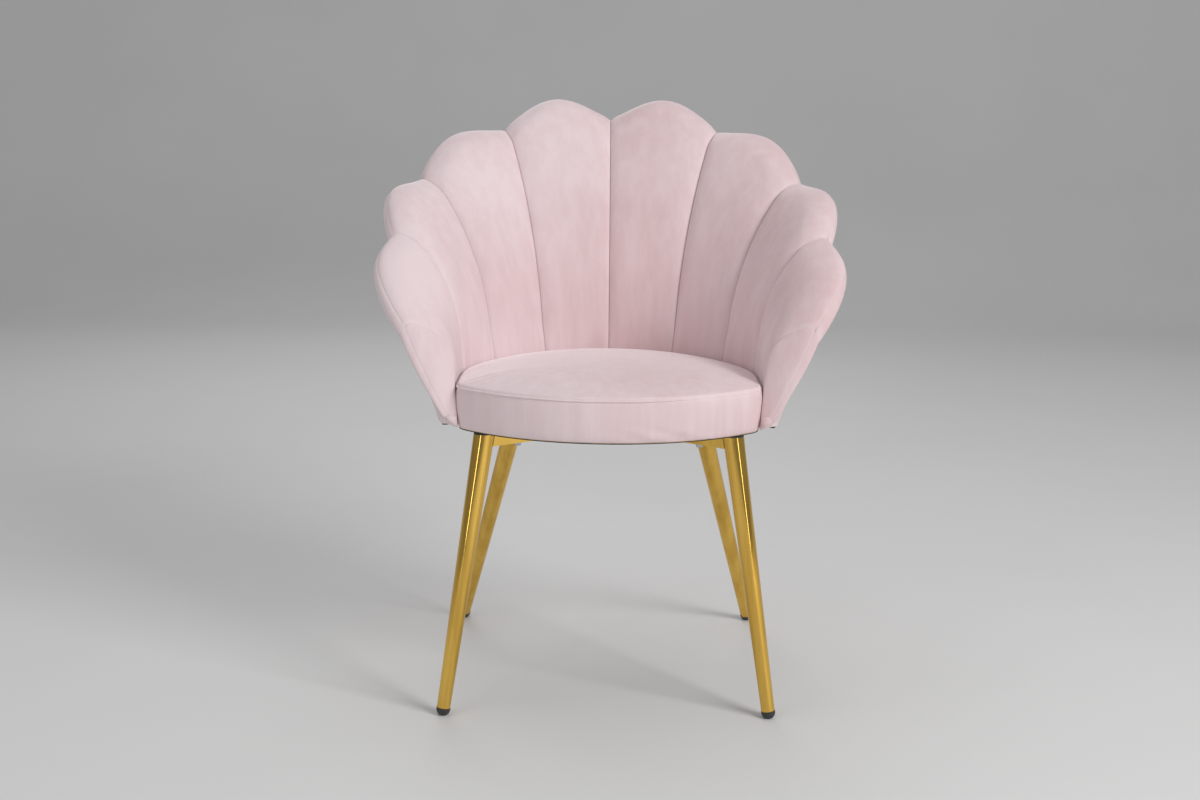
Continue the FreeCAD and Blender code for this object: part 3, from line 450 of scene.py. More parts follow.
def swell(pieces, pressure, cap):
    """Fills the pieces out as cloth over soft filling, each vertex within the cap of its place."""
    scene = bpy.context.scene
    rest = {}
    for piece, held in pieces:
        rest[piece.name] = coordinates(piece.data)
        group = piece.vertex_groups.new(name="held")
        for index, weight in enumerate(held):
            if weight > 0:
                group.add([index], float(weight), "REPLACE")
        cloth = piece.modifiers.new("cloth", "CLOTH")
        cloth.point_cache.frame_start = 1
        cloth.point_cache.frame_end = CLOTH_FRAMES
        for key, value in CLOTH_SETTINGS.items():
            setattr(cloth.settings, key, value)
        cloth.settings.uniform_pressure_force = pressure
        cloth.settings.effector_weights.gravity = 0.0
    for step in range(1, CLOTH_FRAMES + 1):
        scene.frame_set(step)
    graph = bpy.context.evaluated_depsgraph_get()
    for piece, held in pieces:
        settled = coordinates(piece.evaluated_get(graph).to_mesh())
        moved = settled - rest[piece.name]
        distance = np.linalg.norm(moved, axis=1, keepdims=True)
        moved *= cap * np.tanh(distance / cap) / np.maximum(distance, 1e-9)
        piece.modifiers.remove(piece.modifiers["cloth"])
        piece.vertex_groups.clear()
        set_coordinates(piece.data, rest[piece.name] + moved)
    scene.frame_set(1)


def subdivide(piece):
    modifier = piece.modifiers.new("finer", "SUBSURF")
    modifier.levels = 1
    modifier.render_levels = 1
    graph = bpy.context.evaluated_depsgraph_get()
    mesh = bpy.data.meshes.new_from_object(piece.evaluated_get(graph), depsgraph=graph)
    piece.modifiers.clear()
    piece.data = mesh
    mesh.polygons.foreach_set("use_smooth", [True] * len(mesh.polygons))


def dress(piece, material, nodes):
    piece.data.materials.clear()
    piece.data.materials.append(material)
    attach(piece, BODY)
    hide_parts(*nodes)


# Materials

class Recipe:
    """Node material under construction."""

    def __init__(self, name):
        self.material = bpy.data.materials.new(name)
        self.material.use_nodes = True
        self.tree = self.material.node_tree
        self.shader = self.tree.nodes["Principled BSDF"]
        self.place = self.node("ShaderNodeTexCoord").outputs["Object"]

    def node(self, kind, **values):
        made = self.tree.nodes.new(kind)
        for key, value in values.items():
            setattr(made, key, value)
        return made

    def link(self, output, target):
        self.tree.links.new(output, target)

    def scaled(self, scale):
        mapping = self.node("ShaderNodeMapping")
        mapping.inputs["Scale"].default_value = scale
        self.link(self.place, mapping.inputs["Vector"])
        return mapping.outputs["Vector"]

    def noise(self, scale, detail=3.0, roughness=0.5, stretch=None):
        made = self.node("ShaderNodeTexNoise")
        made.inputs["Scale"].default_value = scale
        made.inputs["Detail"].default_value = detail
        made.inputs["Roughness"].default_value = roughness
        self.link(self.scaled(stretch) if stretch else self.place, made.inputs["Vector"])
        return made.outputs["Fac"]

    def spread(self, value, low, high, start=0.0, end=1.0):
        made = self.node("ShaderNodeMapRange", interpolation_type="SMOOTHSTEP")
        ends = {"From Min": low, "From Max": high, "To Min": start, "To Max": end}
        for key, number in ends.items():
            made.inputs[key].default_value = number
        self.link(value, made.inputs["Value"])
        return made.outputs["Result"]

    def blend(self, share, first, second):
        """Mix of two colours; each is a colour or an output."""
        made = self.node("ShaderNodeMix", data_type="RGBA")
        self.link(share, made.inputs["Factor"])
        for name, value in (("A", first), ("B", second)):
            sockets = [s for s in made.inputs if s.name == name and s.type == "RGBA"]
            if isinstance(value, bpy.types.NodeSocket):
                self.link(value, sockets[0])
            else:
                sockets[0].default_value = tuple(value) + (1.0,)
        return [s for s in made.outputs if s.type == "RGBA"][0]

    def math(self, operation, first, second):
        made = self.node("ShaderNodeMath", operation=operation)
        for socket, value in zip(made.inputs, (first, second)):
            if isinstance(value, bpy.types.NodeSocket):
                self.link(value, socket)
            else:
                socket.default_value = value
        return made.outputs["Value"]

    def relief(self, height, strength, distance, under=None):
        """Bump of the surface, over an earlier one if that is given."""
        made = self.node("ShaderNodeBump")
        made.inputs["Strength"].default_value = strength
        made.inputs["Distance"].default_value = distance
        self.link(height, made.inputs["Height"])
        if under is not None:
            self.link(under, made.inputs["Normal"])
        self.link(made.outputs["Normal"], self.shader.inputs["Normal"])
        return made.outputs["Normal"]

    def tones(self, share, first, second):
        """Base colour between two tones."""
        self.link(self.blend(share, first, second), self.shader.inputs["Base Color"])

    def roughness(self, texture, low, high, smooth, rough):
        self.link(self.spread(texture, low, high, smooth, rough), self.shader.inputs["Roughness"])


def darkened(colour, share):
    return tuple(value * share for value in colour)


def velvet_material(colours):
    """Pile in soft patches and upright strokes, painted light on the chair's left side, and a
    painted sheen highlight with parted pile at the folds.
    """
    recipe = Recipe("pale_velvet")
    patches = recipe.spread(recipe.noise(4.5, 1.5, 0.4), 0.3, 0.72)
    strokes = recipe.spread(recipe.noise(60.0, 4.0, 0.6, (1.0, 1.0, 0.12)), 0.3, 0.72)
    brushed_and_lit_share = recipe.math("ADD", recipe.math("MULTIPLY", patches, 0.5),
                      recipe.math("MULTIPLY", strokes, 0.3))
    # Painted light: towards the chair's left side (negative X) the velvet is mixed towards the
    # lighter colour
    sides = recipe.node("ShaderNodeSeparateXYZ")
    recipe.link(recipe.place, sides.inputs["Vector"])
    painted_left_light = recipe.spread(sides.outputs["X"], -0.3, 0.1, 0.45, 0.0)
    brushed_and_lit_share = recipe.math("MINIMUM", recipe.math("ADD", brushed_and_lit_share, painted_left_light), 1.0)
    cloth = recipe.blend(brushed_and_lit_share, colours.velvet, colours.velvet_brushed_and_lit)
    # The fold attribute mixes in a painted sheen highlight at seams and folds, with the parted pile
    fold = recipe.node("ShaderNodeAttribute", attribute_name="fold")
    recipe.tones(recipe.math("MULTIPLY", fold.outputs["Fac"], 0.3), cloth, colours.velvet_fold_sheen)
    recipe.roughness(patches, 0.0, 1.0, 0.72, 0.84)
    shader = recipe.shader
    shader.inputs["Specular IOR Level"].default_value = 0.15
    shader.inputs["Sheen Weight"].default_value = 0.8
    shader.inputs["Sheen Roughness"].default_value = 0.38
    shader.inputs["Sheen Tint"].default_value = (1.0, 0.96, 0.97, 1.0)
    marks = recipe.relief(recipe.noise(140.0, 3.0, 0.6, (1.0, 1.0, 0.35)), 0.10, 0.0008)
    recipe.relief(recipe.noise(2600.0, 2.0, 0.7), 0.22, 0.0004, marks)
    return recipe.material


def gold_material(colours):
    recipe = Recipe("polished_gold")
    # Painted reflection: long dark streaks along the legs mix in the darker gold
    painted_reflection_streaks = recipe.spread(recipe.noise(45.0, 3.0, 0.6, (1.0, 1.0, 0.04)), 0.35, 0.7)
    recipe.tones(recipe.math("MULTIPLY", painted_reflection_streaks, 0.45), colours.gold, colours.gold_reflection_streak)
    polish = recipe.noise(420.0, 3.0, 0.7, (1.0, 1.0, 0.05))
    recipe.roughness(polish, 0.2, 0.8, 0.045, 0.10)
    recipe.shader.inputs["Metallic"].default_value = 1.0
    recipe.relief(polish, 0.03, 0.0002)
    return recipe.material


def plastic_material(colours):
    recipe = Recipe("black_plastic")
    grain = recipe.noise(900.0, 3.0, 0.6)
    recipe.tones(recipe.spread(grain, 0.3, 0.8), colours.plastic, (0.03, 0.03, 0.032))
    recipe.roughness(grain, 0.2, 0.8, 0.38, 0.55)
    recipe.relief(grain, 0.12, 0.0002)
    return recipe.material


def lining_material(colours):
    recipe = Recipe("black_lining")
    weave = recipe.node("ShaderNodeTexVoronoi")
    weave.inputs["Scale"].default_value = 520.0
    recipe.link(recipe.scaled((1.0, 1.0, 0.2)), weave.inputs["Vector"])
    cells = weave.outputs["Distance"]
    recipe.tones(recipe.spread(cells, 0.1, 0.8), colours.lining, (0.035, 0.035, 0.037))
    recipe.roughness(cells, 0.1, 0.8, 0.8, 0.95)
    recipe.relief(cells, 0.4, 0.0006)
    return recipe.material


def plywood_material(colours):
    recipe = Recipe("birch_plywood")
    grain = recipe.noise(24.0, 6.0, 0.62, (1.0, 7.0, 7.0))
    pores = recipe.noise(260.0, 3.0, 0.5, (0.2, 1.0, 1.0))
    recipe.tones(recipe.spread(grain, 0.35, 0.7), colours.birch, darkened(colours.birch, 0.72))
    recipe.roughness(pores, 0.2, 0.8, 0.55, 0.8)
    recipe.relief(pores, 0.25, 0.0004)
    return recipe.material


def foam_material(colours):
    recipe = Recipe("upholstery_foam")
    cells = recipe.noise(1100.0, 2.0, 0.6)
    recipe.tones(recipe.spread(cells, 0.35, 0.65), colours.foam, darkened(colours.foam, 0.85))
    recipe.roughness(cells, 0.3, 0.7, 0.85, 0.98)
    recipe.relief(cells, 0.5, 0.0006)
    return recipe.material


def steel_material(colours):
    recipe = Recipe("zinc_steel")
    mottle = recipe.noise(180.0, 3.0, 0.6)
    recipe.tones(recipe.spread(mottle, 0.3, 0.7), colours.steel, darkened(colours.steel, 0.8))
    recipe.roughness(mottle, 0.3, 0.7, 0.22, 0.36)
    recipe.shader.inputs["Metallic"].default_value = 1.0
    return recipe.material


def floor_material(colours):
    recipe = Recipe("pale_floor")
    cloud = recipe.noise(1.4, 3.0, 0.5)
    recipe.tones(recipe.spread(cloud, 0.3, 0.7), colours.floor, darkened(colours.floor, 0.97))
    recipe.roughness(cloud, 0.3, 0.7, 0.6, 0.7)
    return recipe.material


MAKERS = {
    "pale_velvet": velvet_material,
    "polished_gold": gold_material,
    "black_plastic": plastic_material,
    "black_lining": lining_material,
    "birch_plywood": plywood_material,
    "upholstery_foam": foam_material,
    "zinc_steel": steel_material,
    "pale_floor": floor_material,
}


def material(name):
    found = bpy.data.materials.get(name)
    return found if found else MAKERS[name](bpy.context.scene.armchair_colours)


def nodes_named(*starts):
    return [name for name in NODES if name.startswith(starts)]


def finish_nodes(name, nodes):
    for node in nodes:
        mesh = NODES[node].data
        mesh.materials.clear()
        mesh.materials.append(material(name))
        mesh.polygons.foreach_set("material_index", [0] * len(mesh.polygons))


# Petals

PETAL_COLUMNS = 27
PETAL_ROWS = 84
HIDDEN_ROLL_ROWS = 8
# The cloth is held this near a seam and this far over the seat's seam.
HELD_DISTANCE = 3.0
HELD_ABOVE_SEAT = 14
# The face falls off towards its seams over this width, clear of the seat and the rim.
ROUND_WIDTH = 16.0
ROUND_ABOVE_SEAT = 60
ROUND_FROM_RIM = (4, 40)
NOSE_STEPS = (0.35, 0.7, 0.92, 1.0)
NOSE_LENGTH = 6.0
NOSE_TIP = 0.03
# Painted sheen highlight on the wing's tip
NOSE_SHEEN = 0.15


def petal_piece(number, side_name, side, padding):
    """Closed pad of one petal, with a groove at each seam, and what holds still of it."""
    shares = across_seams(PETAL_COLUMNS)
    sections = [Section(number, share) for share in shares]
    lines = [section.front_line(PETAL_ROWS) for section in sections]
    first = np.array([in_space(sections[0].azimuth, p[0], p[1]) for p in lines[0]])
    last = np.array([in_space(sections[-1].azimuth, p[0], p[1]) for p in lines[-1]])
    widths = np.linalg.norm(last - first, axis=1) / MM
    depth, width = padding.seam_depth / MM, padding.seam_width / MM
    roundness = padding.petal_roundness / MM
    wing = number == WING
    front, fold_sheen, held = [], [], []
    for share, section, line in zip(shares, sections, lines):
        nearest = min(share, 1 - share)
        for row, (r, z, nr, nz, to_rim) in enumerate(line):
            to_seam = nearest * widths[row]
            if wing and share > 0.5:
                to_seam = max(to_seam, (1 - share) * widths[row] + HELD_DISTANCE)
            above_seat = smooth_step(z, SEAT_SEAM, SEAT_SEAM + ROUND_ABOVE_SEAT)
            sink = depth * math.exp(-to_seam / width) + rim_groove(padding, to_rim)
            sink += (roundness * above_seat * math.exp(-to_seam / ROUND_WIDTH)
                     * smooth_step(to_rim, *ROUND_FROM_RIM))
            front.append(tucked_in_space(section, r - nr * sink, z - nz * sink))
            # Painted sheen highlight with the parted pile, near the seams and the rim
            fold_sheen.append(max(parted_pile_sheen(to_seam), RIM_SHEEN * parted_pile_sheen(to_rim)))
            free = min(to_seam, to_rim) > HELD_DISTANCE and z > SEAT_SEAM + HELD_ABOVE_SEAT
            held.append(0.0 if free else 1.0)

    def back_inset(section, share):
        return (SKIN if wing else BOARD_INNER) + 2 * GAP

    hidden = []
    for section in sections:
        line = section.outer_line(PETAL_ROWS, HIDDEN_ROLL_ROWS, SKIN + GAP, back_inset,
                                  section.bottom)
        hidden += [tucked_in_space(section, p[0], p[1]) for p in line]
    columns = PETAL_COLUMNS
    if wing:
        columns += add_nose(front, hidden, fold_sheen, held, sections[-1])
    points = np.array(front + hidden)
    points[:, 0] *= side
    fold_sheen += [0.0] * len(hidden)
    held += [1.0] * len(hidden)
    piece = new_piece("petal_%s_%d" % (side_name, number), points, slab_faces(columns, PETAL_ROWS))
    mark_fold_sheen(piece, fold_sheen)
    return piece, held


def add_nose(front, hidden, fold_sheen, held, section):
    """Rounds off the wing's tip past its last section; returns how many columns that takes."""
    front_end = np.array(front[-PETAL_ROWS:])
    outer = section.outer_line(PETAL_ROWS, HIDDEN_ROLL_ROWS, 0.0, no_inset, section.bottom)
    hidden_end = np.array([tucked_in_space(section, p[0], p[1]) for p in outer])
    centre = (front_end.mean(0) + hidden_end.mean(0)) / 2
    turn = math.radians(section.azimuth)
    onward = np.array((math.cos(turn), -math.sin(turn), 0.0)) * NOSE_LENGTH * MM
    for share in (0.0,) + NOSE_STEPS:
        keep = math.sqrt(1 - share ** 2) * (1 - NOSE_TIP) + NOSE_TIP
        for source, target in ((front_end, front), (hidden_end, hidden)):
            target += list(centre + (source - centre) * keep + onward * share)
        # The tip gets a faint painted sheen highlight
        fold_sheen += [NOSE_SHEEN] * PETAL_ROWS
        held += [1.0] * PETAL_ROWS
    return 1 + len(NOSE_STEPS)


# Outer cover

BACK_COLUMNS = 15
BACK_ROWS = 72
BACK_ROLL_ROWS = 20
BACK_THICKNESS = 5.2
COVER_THICKNESS = 1.2
# The foam runs out over these azimuths, and over these shares of the height.
THIN_AZIMUTHS = (92.0, 102.0)
THIN_SHARES = (0.86, 0.97)
BACK_SEAM_WIDTH = 2.4
SEAM_STARTS = (0.02, 0.3)
# The cover turns under at its foot, at most this far past its own thickness.
FOOT_TURN_DEPTH = 1.6
FOOT_TURN_HEIGHT = 2.2
SINK_PAST = 0.5


def back_thickness(section, share):
    """Cover and foam together; the foam ends before the rim and towards the wings."""
    foam = BACK_THICKNESS - COVER_THICKNESS
    foam *= 1 - smooth_step(section.azimuth, *THIN_AZIMUTHS)
    return COVER_THICKNESS + foam * (1 - smooth_step(share, *THIN_SHARES))


def back_piece(padding):
    """Outer cover of the whole shell, one closed skin with its thin foam."""
    depth = padding.back_seam_depth / MM
    outer, inner, fold_sheen, places = [], [], [], []
    for number in range(WING, 0, -1):
        shares = across_seams(BACK_COLUMNS)[::-1]
        places += [(number, share, -1) for share in shares[:-1]]
    for number in range(1, WING + 1):
        shares = across_seams(BACK_COLUMNS)
        places += [(number, share, 1) for share in (shares if number == 1 else shares[1:])]
    for number, share, side in places:
        section = Section(number, share)
        start, end = SEAMS[number - 1], SEAMS[number]
        line = section.outer_line(BACK_ROWS, BACK_ROLL_ROWS, 0.0, no_inset, BASE + GAP)
        under = section.outer_line(BACK_ROWS, BACK_ROLL_ROWS, COVER_THICKNESS, back_thickness,
                                   BASE + GAP)
        nearest = min(share, 1 - share) if number < WING else share
        sweep = math.radians(end.angle - start.angle)
        top = line[-1]
        for row, (r, z, nr, nz) in enumerate(line):
            to_seam = nearest * sweep * r
            to_rim = math.hypot(r - top[0], z - top[1])
            fade = smooth_step(row / (BACK_ROWS - 1), *SEAM_STARTS)
            sink = depth * math.exp(-to_seam / BACK_SEAM_WIDTH) * fade + rim_groove(padding, to_rim)
            sink += FOOT_TURN_DEPTH * math.exp(-(z - BASE) / FOOT_TURN_HEIGHT)
            sink = min(sink, back_thickness(section, row / BACK_ROWS) + SINK_PAST)
            point = tucked_in_space(section, r - nr * sink, z - nz * sink)
            point[0] *= side
            outer.append(point)
            # Painted sheen highlight with the parted pile, along the seams and the rim
            fold_sheen.append(max(fade * parted_pile_sheen(to_seam), RIM_SHEEN * parted_pile_sheen(to_rim)))
        for r, z, nr, nz in under:
            point = tucked_in_space(section, r, z)
            point[0] *= side
            inner.append(point)
    fold_sheen += [0.0] * len(inner)
    piece = new_piece("outer_cover", outer + inner, slab_faces(len(places), BACK_ROWS))
    mark_fold_sheen(piece, fold_sheen)
    return piece


# Seat

SEAT_AROUND = 208
SEAT_CROWN = 22.0
SEAT_CROWN_SHAPE = 0.35
CROWN_RINGS = 26
BAND_RINGS = 16
# Rings crowd towards the seam.
CROWN_CROWDING = 1.9
CROWN_HELD_RINGS = 3
BAND_MIDDLE = (BASE + SEAT_SEAM) / 2
BAND_FLATNESS = 0.55
BAND_CROWDING = 0.06
# The cloth is free between these shares of the band's height.
BAND_FREE = (0.12, 0.93)
SEAM_TUCK_DEPTH = 1.2
SEAM_TUCK_HEIGHT = 2.6
FOOT_TUCK_DEPTH = 2.6
FOOT_TUCK_HEIGHT = 3.2
# Up to this azimuth the petals hide the band.
UNDER_PETALS = 104.2
PUCKER_FADE = 8
HELD_PAST_PETALS = 4
PUCKER_X = 70
PUCKER_REACH = 62.0
PUCKER_ABOVE_BASE = 9
PUCKER_RISE = 9.0
# Painted sheen highlight along the seat's seam
SEAM_SHEEN = 0.8
FOLD_RADIUS = 1.8
# Painted sheen highlight over the raised fold
FOLD_SIDES = 10
FOLD_SHEEN = 0.6
FOLD_HEIGHT_SHARE = 0.8
FOLD_FLATTER_X = (20, 150)
FOLD_THINNER = 0.3
FOLD_UNEVEN = 0.12
FOLD_WANDER = 0.5
FOLD_SET_BACK = 0.9
PAD_BOTTOM = BOARD_TOP + GAP * 2
PAD_EDGE = 0.2


def seat_plan(count):
    """Points and outward normals of the seat's outline, evenly spaced, starting at the back."""
    arcs = [
        ((0.0, 0.0), SEAT_HALF, math.pi, math.pi / 2),
        None,
        ((CORNER_X, CORNER_Y), SEAT_CORNER, math.pi / 2, CORNER_TURN),
        ((0.0, FRONT_CENTRE_Y), SEAT_FRONT_RADIUS, CORNER_TURN, 0.0),
    ]
    lengths = [
        SEAT_HALF * math.pi / 2,
        -CORNER_Y,
        SEAT_CORNER * (math.pi / 2 - CORNER_TURN),
        SEAT_FRONT_RADIUS * CORNER_TURN,
    ]
    total = sum(lengths)
    plan = []
    half_count = count // 2
    for step in range(half_count + 1):
        left = total * step / half_count
        index = 0
        while index < len(arcs) - 1 and left > lengths[index]:
            left -= lengths[index]
            index += 1
        if arcs[index] is None:
            plan.append((SEAT_HALF, -left, 1.0, 0.0))
            continue
        (cx, cy), radius, start, end = arcs[index]
        angle = start + (end - start) * left / lengths[index]
        nx, ny = math.sin(angle), -math.cos(angle)
        plan.append((cx + radius * nx, cy + radius * ny, nx, ny))
    mirror = [(-x, y, -nx, ny) for x, y, nx, ny in plan[1:-1][::-1]]
    return plan + mirror


def seat_ring(plan, inset, height, scale=1.0):
    """Ring of points; inset and height are numbers or one number for each point of the plan."""
    ring = []
    for index, (x, y, nx, ny) in enumerate(plan):
        i = inset[index] if hasattr(inset, "__len__") else inset
        h = height[index] if hasattr(height, "__len__") else height
        ring.append(np.array(((x - i * nx) * scale, (y - i * ny) * scale + AXIS_Y, h)) * MM)
    return ring


def ring_faces(ring, other, count):
    """Faces between two rings of points."""
    faces = []
    for i in range(count):
        j = (i + 1) % count
        faces.append((ring * count + i, ring * count + j, other * count + j, other * count + i))
    return faces


def band_pucker(x, height, padding):
    """Small diagonal folds low on the band, right of its middle, and a faint unevenness."""
    low = math.exp(-((height - BASE - PUCKER_ABOVE_BASE) / PUCKER_RISE) ** 2)
    centre = math.exp(-((x - PUCKER_X) / PUCKER_REACH) ** 2)
    wave = math.sin((x * 0.9 + (height - BASE) * 2.1) / 9.0)
    wave += 0.6 * math.sin((x * 0.5 - height * 1.7) / 6.3)
    even = noise.noise(Vector((x * 0.016, height * 0.03, 2.7)))
    return padding.pucker_height / MM * (low * centre * wave * 0.7 + 0.55 * even)


def seat_piece(padding):
    """Closed seat pad: band, seam and crown over a flat base."""
    plan = seat_plan(SEAT_AROUND)
    azimuths = [abs(math.degrees(math.atan2(x, y))) for x, y, nx, ny in plan]
    bottoms = [PAD_BOTTOM if azimuth < UNDER_PETALS else BASE + GAP for azimuth in azimuths]
    inner = SEAT_BULGE + SKIN
    rings = [seat_ring(plan, inner, PAD_BOTTOM),
             seat_ring(plan, inner, [bottom + PAD_EDGE for bottom in bottoms])]
    fold_sheen = [[0.0] * len(plan)] * 2
    held = [[1.0] * len(plan)] * 2
    for step in range(BAND_RINGS):
        share = step / (BAND_RINGS - 1)
        heights, insets, ring_fold_sheen, ring_held = [], [], [], []
        for (x, y, nx, ny), bottom, azimuth in zip(plan, bottoms, azimuths):
            crowded = share + BAND_CROWDING * math.sin(2 * math.pi * share)
            height = bottom + (SEAT_SEAM - bottom) * crowded
            from_middle = (height - BAND_MIDDLE) / (SEAT_SEAM - BAND_MIDDLE)
            bulge = BAND_FLATNESS * SEAT_BULGE * from_middle ** 2
            open_side = smooth_step(azimuth, UNDER_PETALS, UNDER_PETALS + PUCKER_FADE)
            sink = (SEAM_TUCK_DEPTH * math.exp(-(SEAT_SEAM - height) / SEAM_TUCK_HEIGHT)
                    + FOOT_TUCK_DEPTH * math.exp(-(height - bottom) / FOOT_TUCK_HEIGHT))
            heights.append(height)
            insets.append(bulge + sink - open_side * band_pucker(x, height, padding))
            # Painted sheen highlight with the parted pile, under the seat's seam
            ring_fold_sheen.append(SEAM_SHEEN * parted_pile_sheen(SEAT_SEAM - height))
            free = BAND_FREE[0] <= share <= BAND_FREE[1]
            ring_held.append(0.0 if free and azimuth >= UNDER_PETALS + HELD_PAST_PETALS else 1.0)
        rings.append(seat_ring(plan, insets, heights))
        fold_sheen.append(ring_fold_sheen)
        held.append(ring_held)
    for step in range(1, CROWN_RINGS):
        share = (step / CROWN_RINGS) ** CROWN_CROWDING
        rise = (1 - (1 - share) ** 2) ** SEAT_CROWN_SHAPE
        rings.append(seat_ring(plan, SEAT_BULGE, SEAT_SEAM + SEAT_CROWN * rise, 1 - share))
        # Painted sheen highlight on the first crown ring by the seam
        fold_sheen.append([SEAM_SHEEN if step == 1 else 0.0] * len(plan))
        held.append([1.0 if step < CROWN_HELD_RINGS else 0.0] * len(plan))
    points = [point for ring in rings for point in ring]
    count = len(plan)
    faces = []
    for ring in range(len(rings) - 1):
        faces += ring_faces(ring, ring + 1, count)
    top, bottom = len(points), len(points) + 1
    points.append(np.array((0.0, AXIS_Y, SEAT_SEAM + SEAT_CROWN)) * MM)
    points.append(np.array((0.0, AXIS_Y, PAD_BOTTOM)) * MM)
    last = (len(rings) - 1) * count
    for i in range(count):
        j = (i + 1) % count
        faces.append((last + i, last + j, top))
        faces.append((j, i, bottom))
    piece = new_piece("seat_cushion", points, faces)
    mark_fold_sheen(piece, [value for ring in fold_sheen for value in ring] + [0.0, 0.0])
    return piece, [value for ring in held for value in ring] + [0.0, 1.0]


def seat_fold_piece():
    """The raised fold between the seat's top and its band."""
    plan = seat_plan(SEAT_AROUND)
    centre = SEAT_BULGE + SKIN - FOLD_RADIUS - GAP
    rings, faces = [], []
    for side in range(FOLD_SIDES):
        angle = 2 * math.pi * side / FOLD_SIDES
        heights, insets = [], []
        for x, y, nx, ny in plan:
            wander = noise.noise(Vector((x * 0.02, y * 0.02, 0.5)))
            uneven = noise.noise(Vector((x * 0.07, y * 0.07, 5.0)))
            flatter = smooth_step(x, *FOLD_FLATTER_X)
            radius = FOLD_RADIUS * (1 - FOLD_THINNER * flatter + FOLD_UNEVEN * uneven)
            rise = FOLD_HEIGHT_SHARE * radius * math.sin(angle)
            heights.append(SEAT_SEAM + FOLD_WANDER * wander + rise)
            insets.append(centre + FOLD_SET_BACK * flatter - radius * math.cos(angle))
        rings.append(seat_ring(plan, insets, heights))
        faces += ring_faces(side, (side + 1) % FOLD_SIDES, len(plan))
    points = [point for ring in rings for point in ring]
    piece = new_piece("seat_seam_fold", points, faces)
    # The whole raised fold is painted with a sheen highlight
    mark_fold_sheen(piece, [FOLD_SHEEN] * len(points))
    return piece


# Operators

class ARMCHAIR_OT_petals(bpy.types.Operator):
    """Ten padded velvet petals over the shell board"""
    bl_idname = "armchair.petals"
    bl_label = "Petals"

    def execute(self, context):
        padding = context.scene.armchair_padding
        made = []
        for side_name, side in SIDES:
            for number in range(1, WING + 1):
                piece, held = petal_piece(number, side_name, side, padding)
                made.append((piece, held, side_name, number))
        swell([(piece, held) for piece, held, side_name, number in made],
              padding.petal_pressure, padding.petal_swell)
        for piece, held, side_name, number in made:
            subdivide(piece)
            nodes = ["petal_%s_%s_%d" % (part, side_name, number) for part in ("cover", "foam")]
            dress(piece, material("pale_velvet"), nodes)
        return {"FINISHED"}


class ARMCHAIR_OT_outer_cover(bpy.types.Operator):
    """Velvet cover over the outside of the shell"""
    bl_idname = "armchair.outer_cover"
    bl_label = "Outer cover"

    def execute(self, context):
        piece = back_piece(context.scene.armchair_padding)
        subdivide(piece)
        dress(piece, material("pale_velvet"), ("back_cover", "back_foam"))
        return {"FINISHED"}


class ARMCHAIR_OT_seat(bpy.types.Operator):
    """Seat pad with its band, and the raised fold between top and band"""
    bl_idname = "armchair.seat"
    bl_label = "Seat"

    def execute(self, context):
        padding = context.scene.armchair_padding
        piece, held = seat_piece(padding)
        swell([(piece, held)], padding.seat_pressure, padding.seat_swell)
        subdivide(piece)
        nodes = ("seat_top_cover", "seat_band_cover", "seat_foam")
        dress(piece, material("pale_velvet"), nodes)
        fold = seat_fold_piece()
        subdivide(fold)
        dress(fold, material("pale_velvet"), ("seat_welt",))
        return {"FINISHED"}


class ARMCHAIR_OT_metalwork(bpy.types.Operator):
    """Polished gold on the legs and the cross frame"""
    bl_idname = "armchair.metalwork"
    bl_label = "Legs and bars"

    def execute(self, context):
        finish_nodes("polished_gold", nodes_named("leg_front", "leg_rear", "cross_bar"))
        finish_nodes("black_plastic", nodes_named("glide", "leg_cap"))
        return {"FINISHED"}


class ARMCHAIR_OT_underside(bpy.types.Operator):
    """Finishes of the boards, the lining and the fasteners"""
    bl_idname = "armchair.underside"
    bl_label = "Boards, lining and fasteners"

    def execute(self, context):
        finish_nodes("birch_plywood", ("base_board", "shell_board"))
        finish_nodes("black_lining", ("dust_cover",))
        finish_nodes("zinc_steel", nodes_named(
            "dust_cover_staples", "shell_screws", "frame_bolts", "frame_washers", "tee_nuts"))
        finish_nodes("upholstery_foam", nodes_named("petal_foam", "back_foam", "seat_foam"))
        finish_nodes("pale_velvet", nodes_named(
            "petal_cover", "back_cover", "seat_top_cover", "seat_band_cover", "seat_welt"))
        return {"FINISHED"}


FLOOR_HALF = 9.0
BACKDROP_Y = 5.5
BACKDROP_HEIGHT = 5.0
COVE_RADIUS = 2.0
COVE_STEPS = 24
AIM_HEIGHT = 0.5
LAMPS = (
    ("key_lamp", (2.9, -2.6, 2.5), 1.7, "key_power"),
    ("fill_lamp", (-2.3, -1.7, 1.5), 1.6, "fill_power"),
    ("top_lamp", (0.0, 0.3, 2.9), 2.4, "top_power"),
    ("rear_lamp", (-0.6, 3.0, 2.4), 1.8, "rear_power"),
)
STRIPS = (("left_strip", (-1.7, -2.7, 0.85)), ("right_strip", (2.2, -2.7, 0.85)))
STRIP_WIDTH = 0.22
STRIP_HEIGHT = 1.6
AIR_COLOUR = (0.94, 0.95, 0.97, 1.0)
SENSOR_WIDTH = 36.0


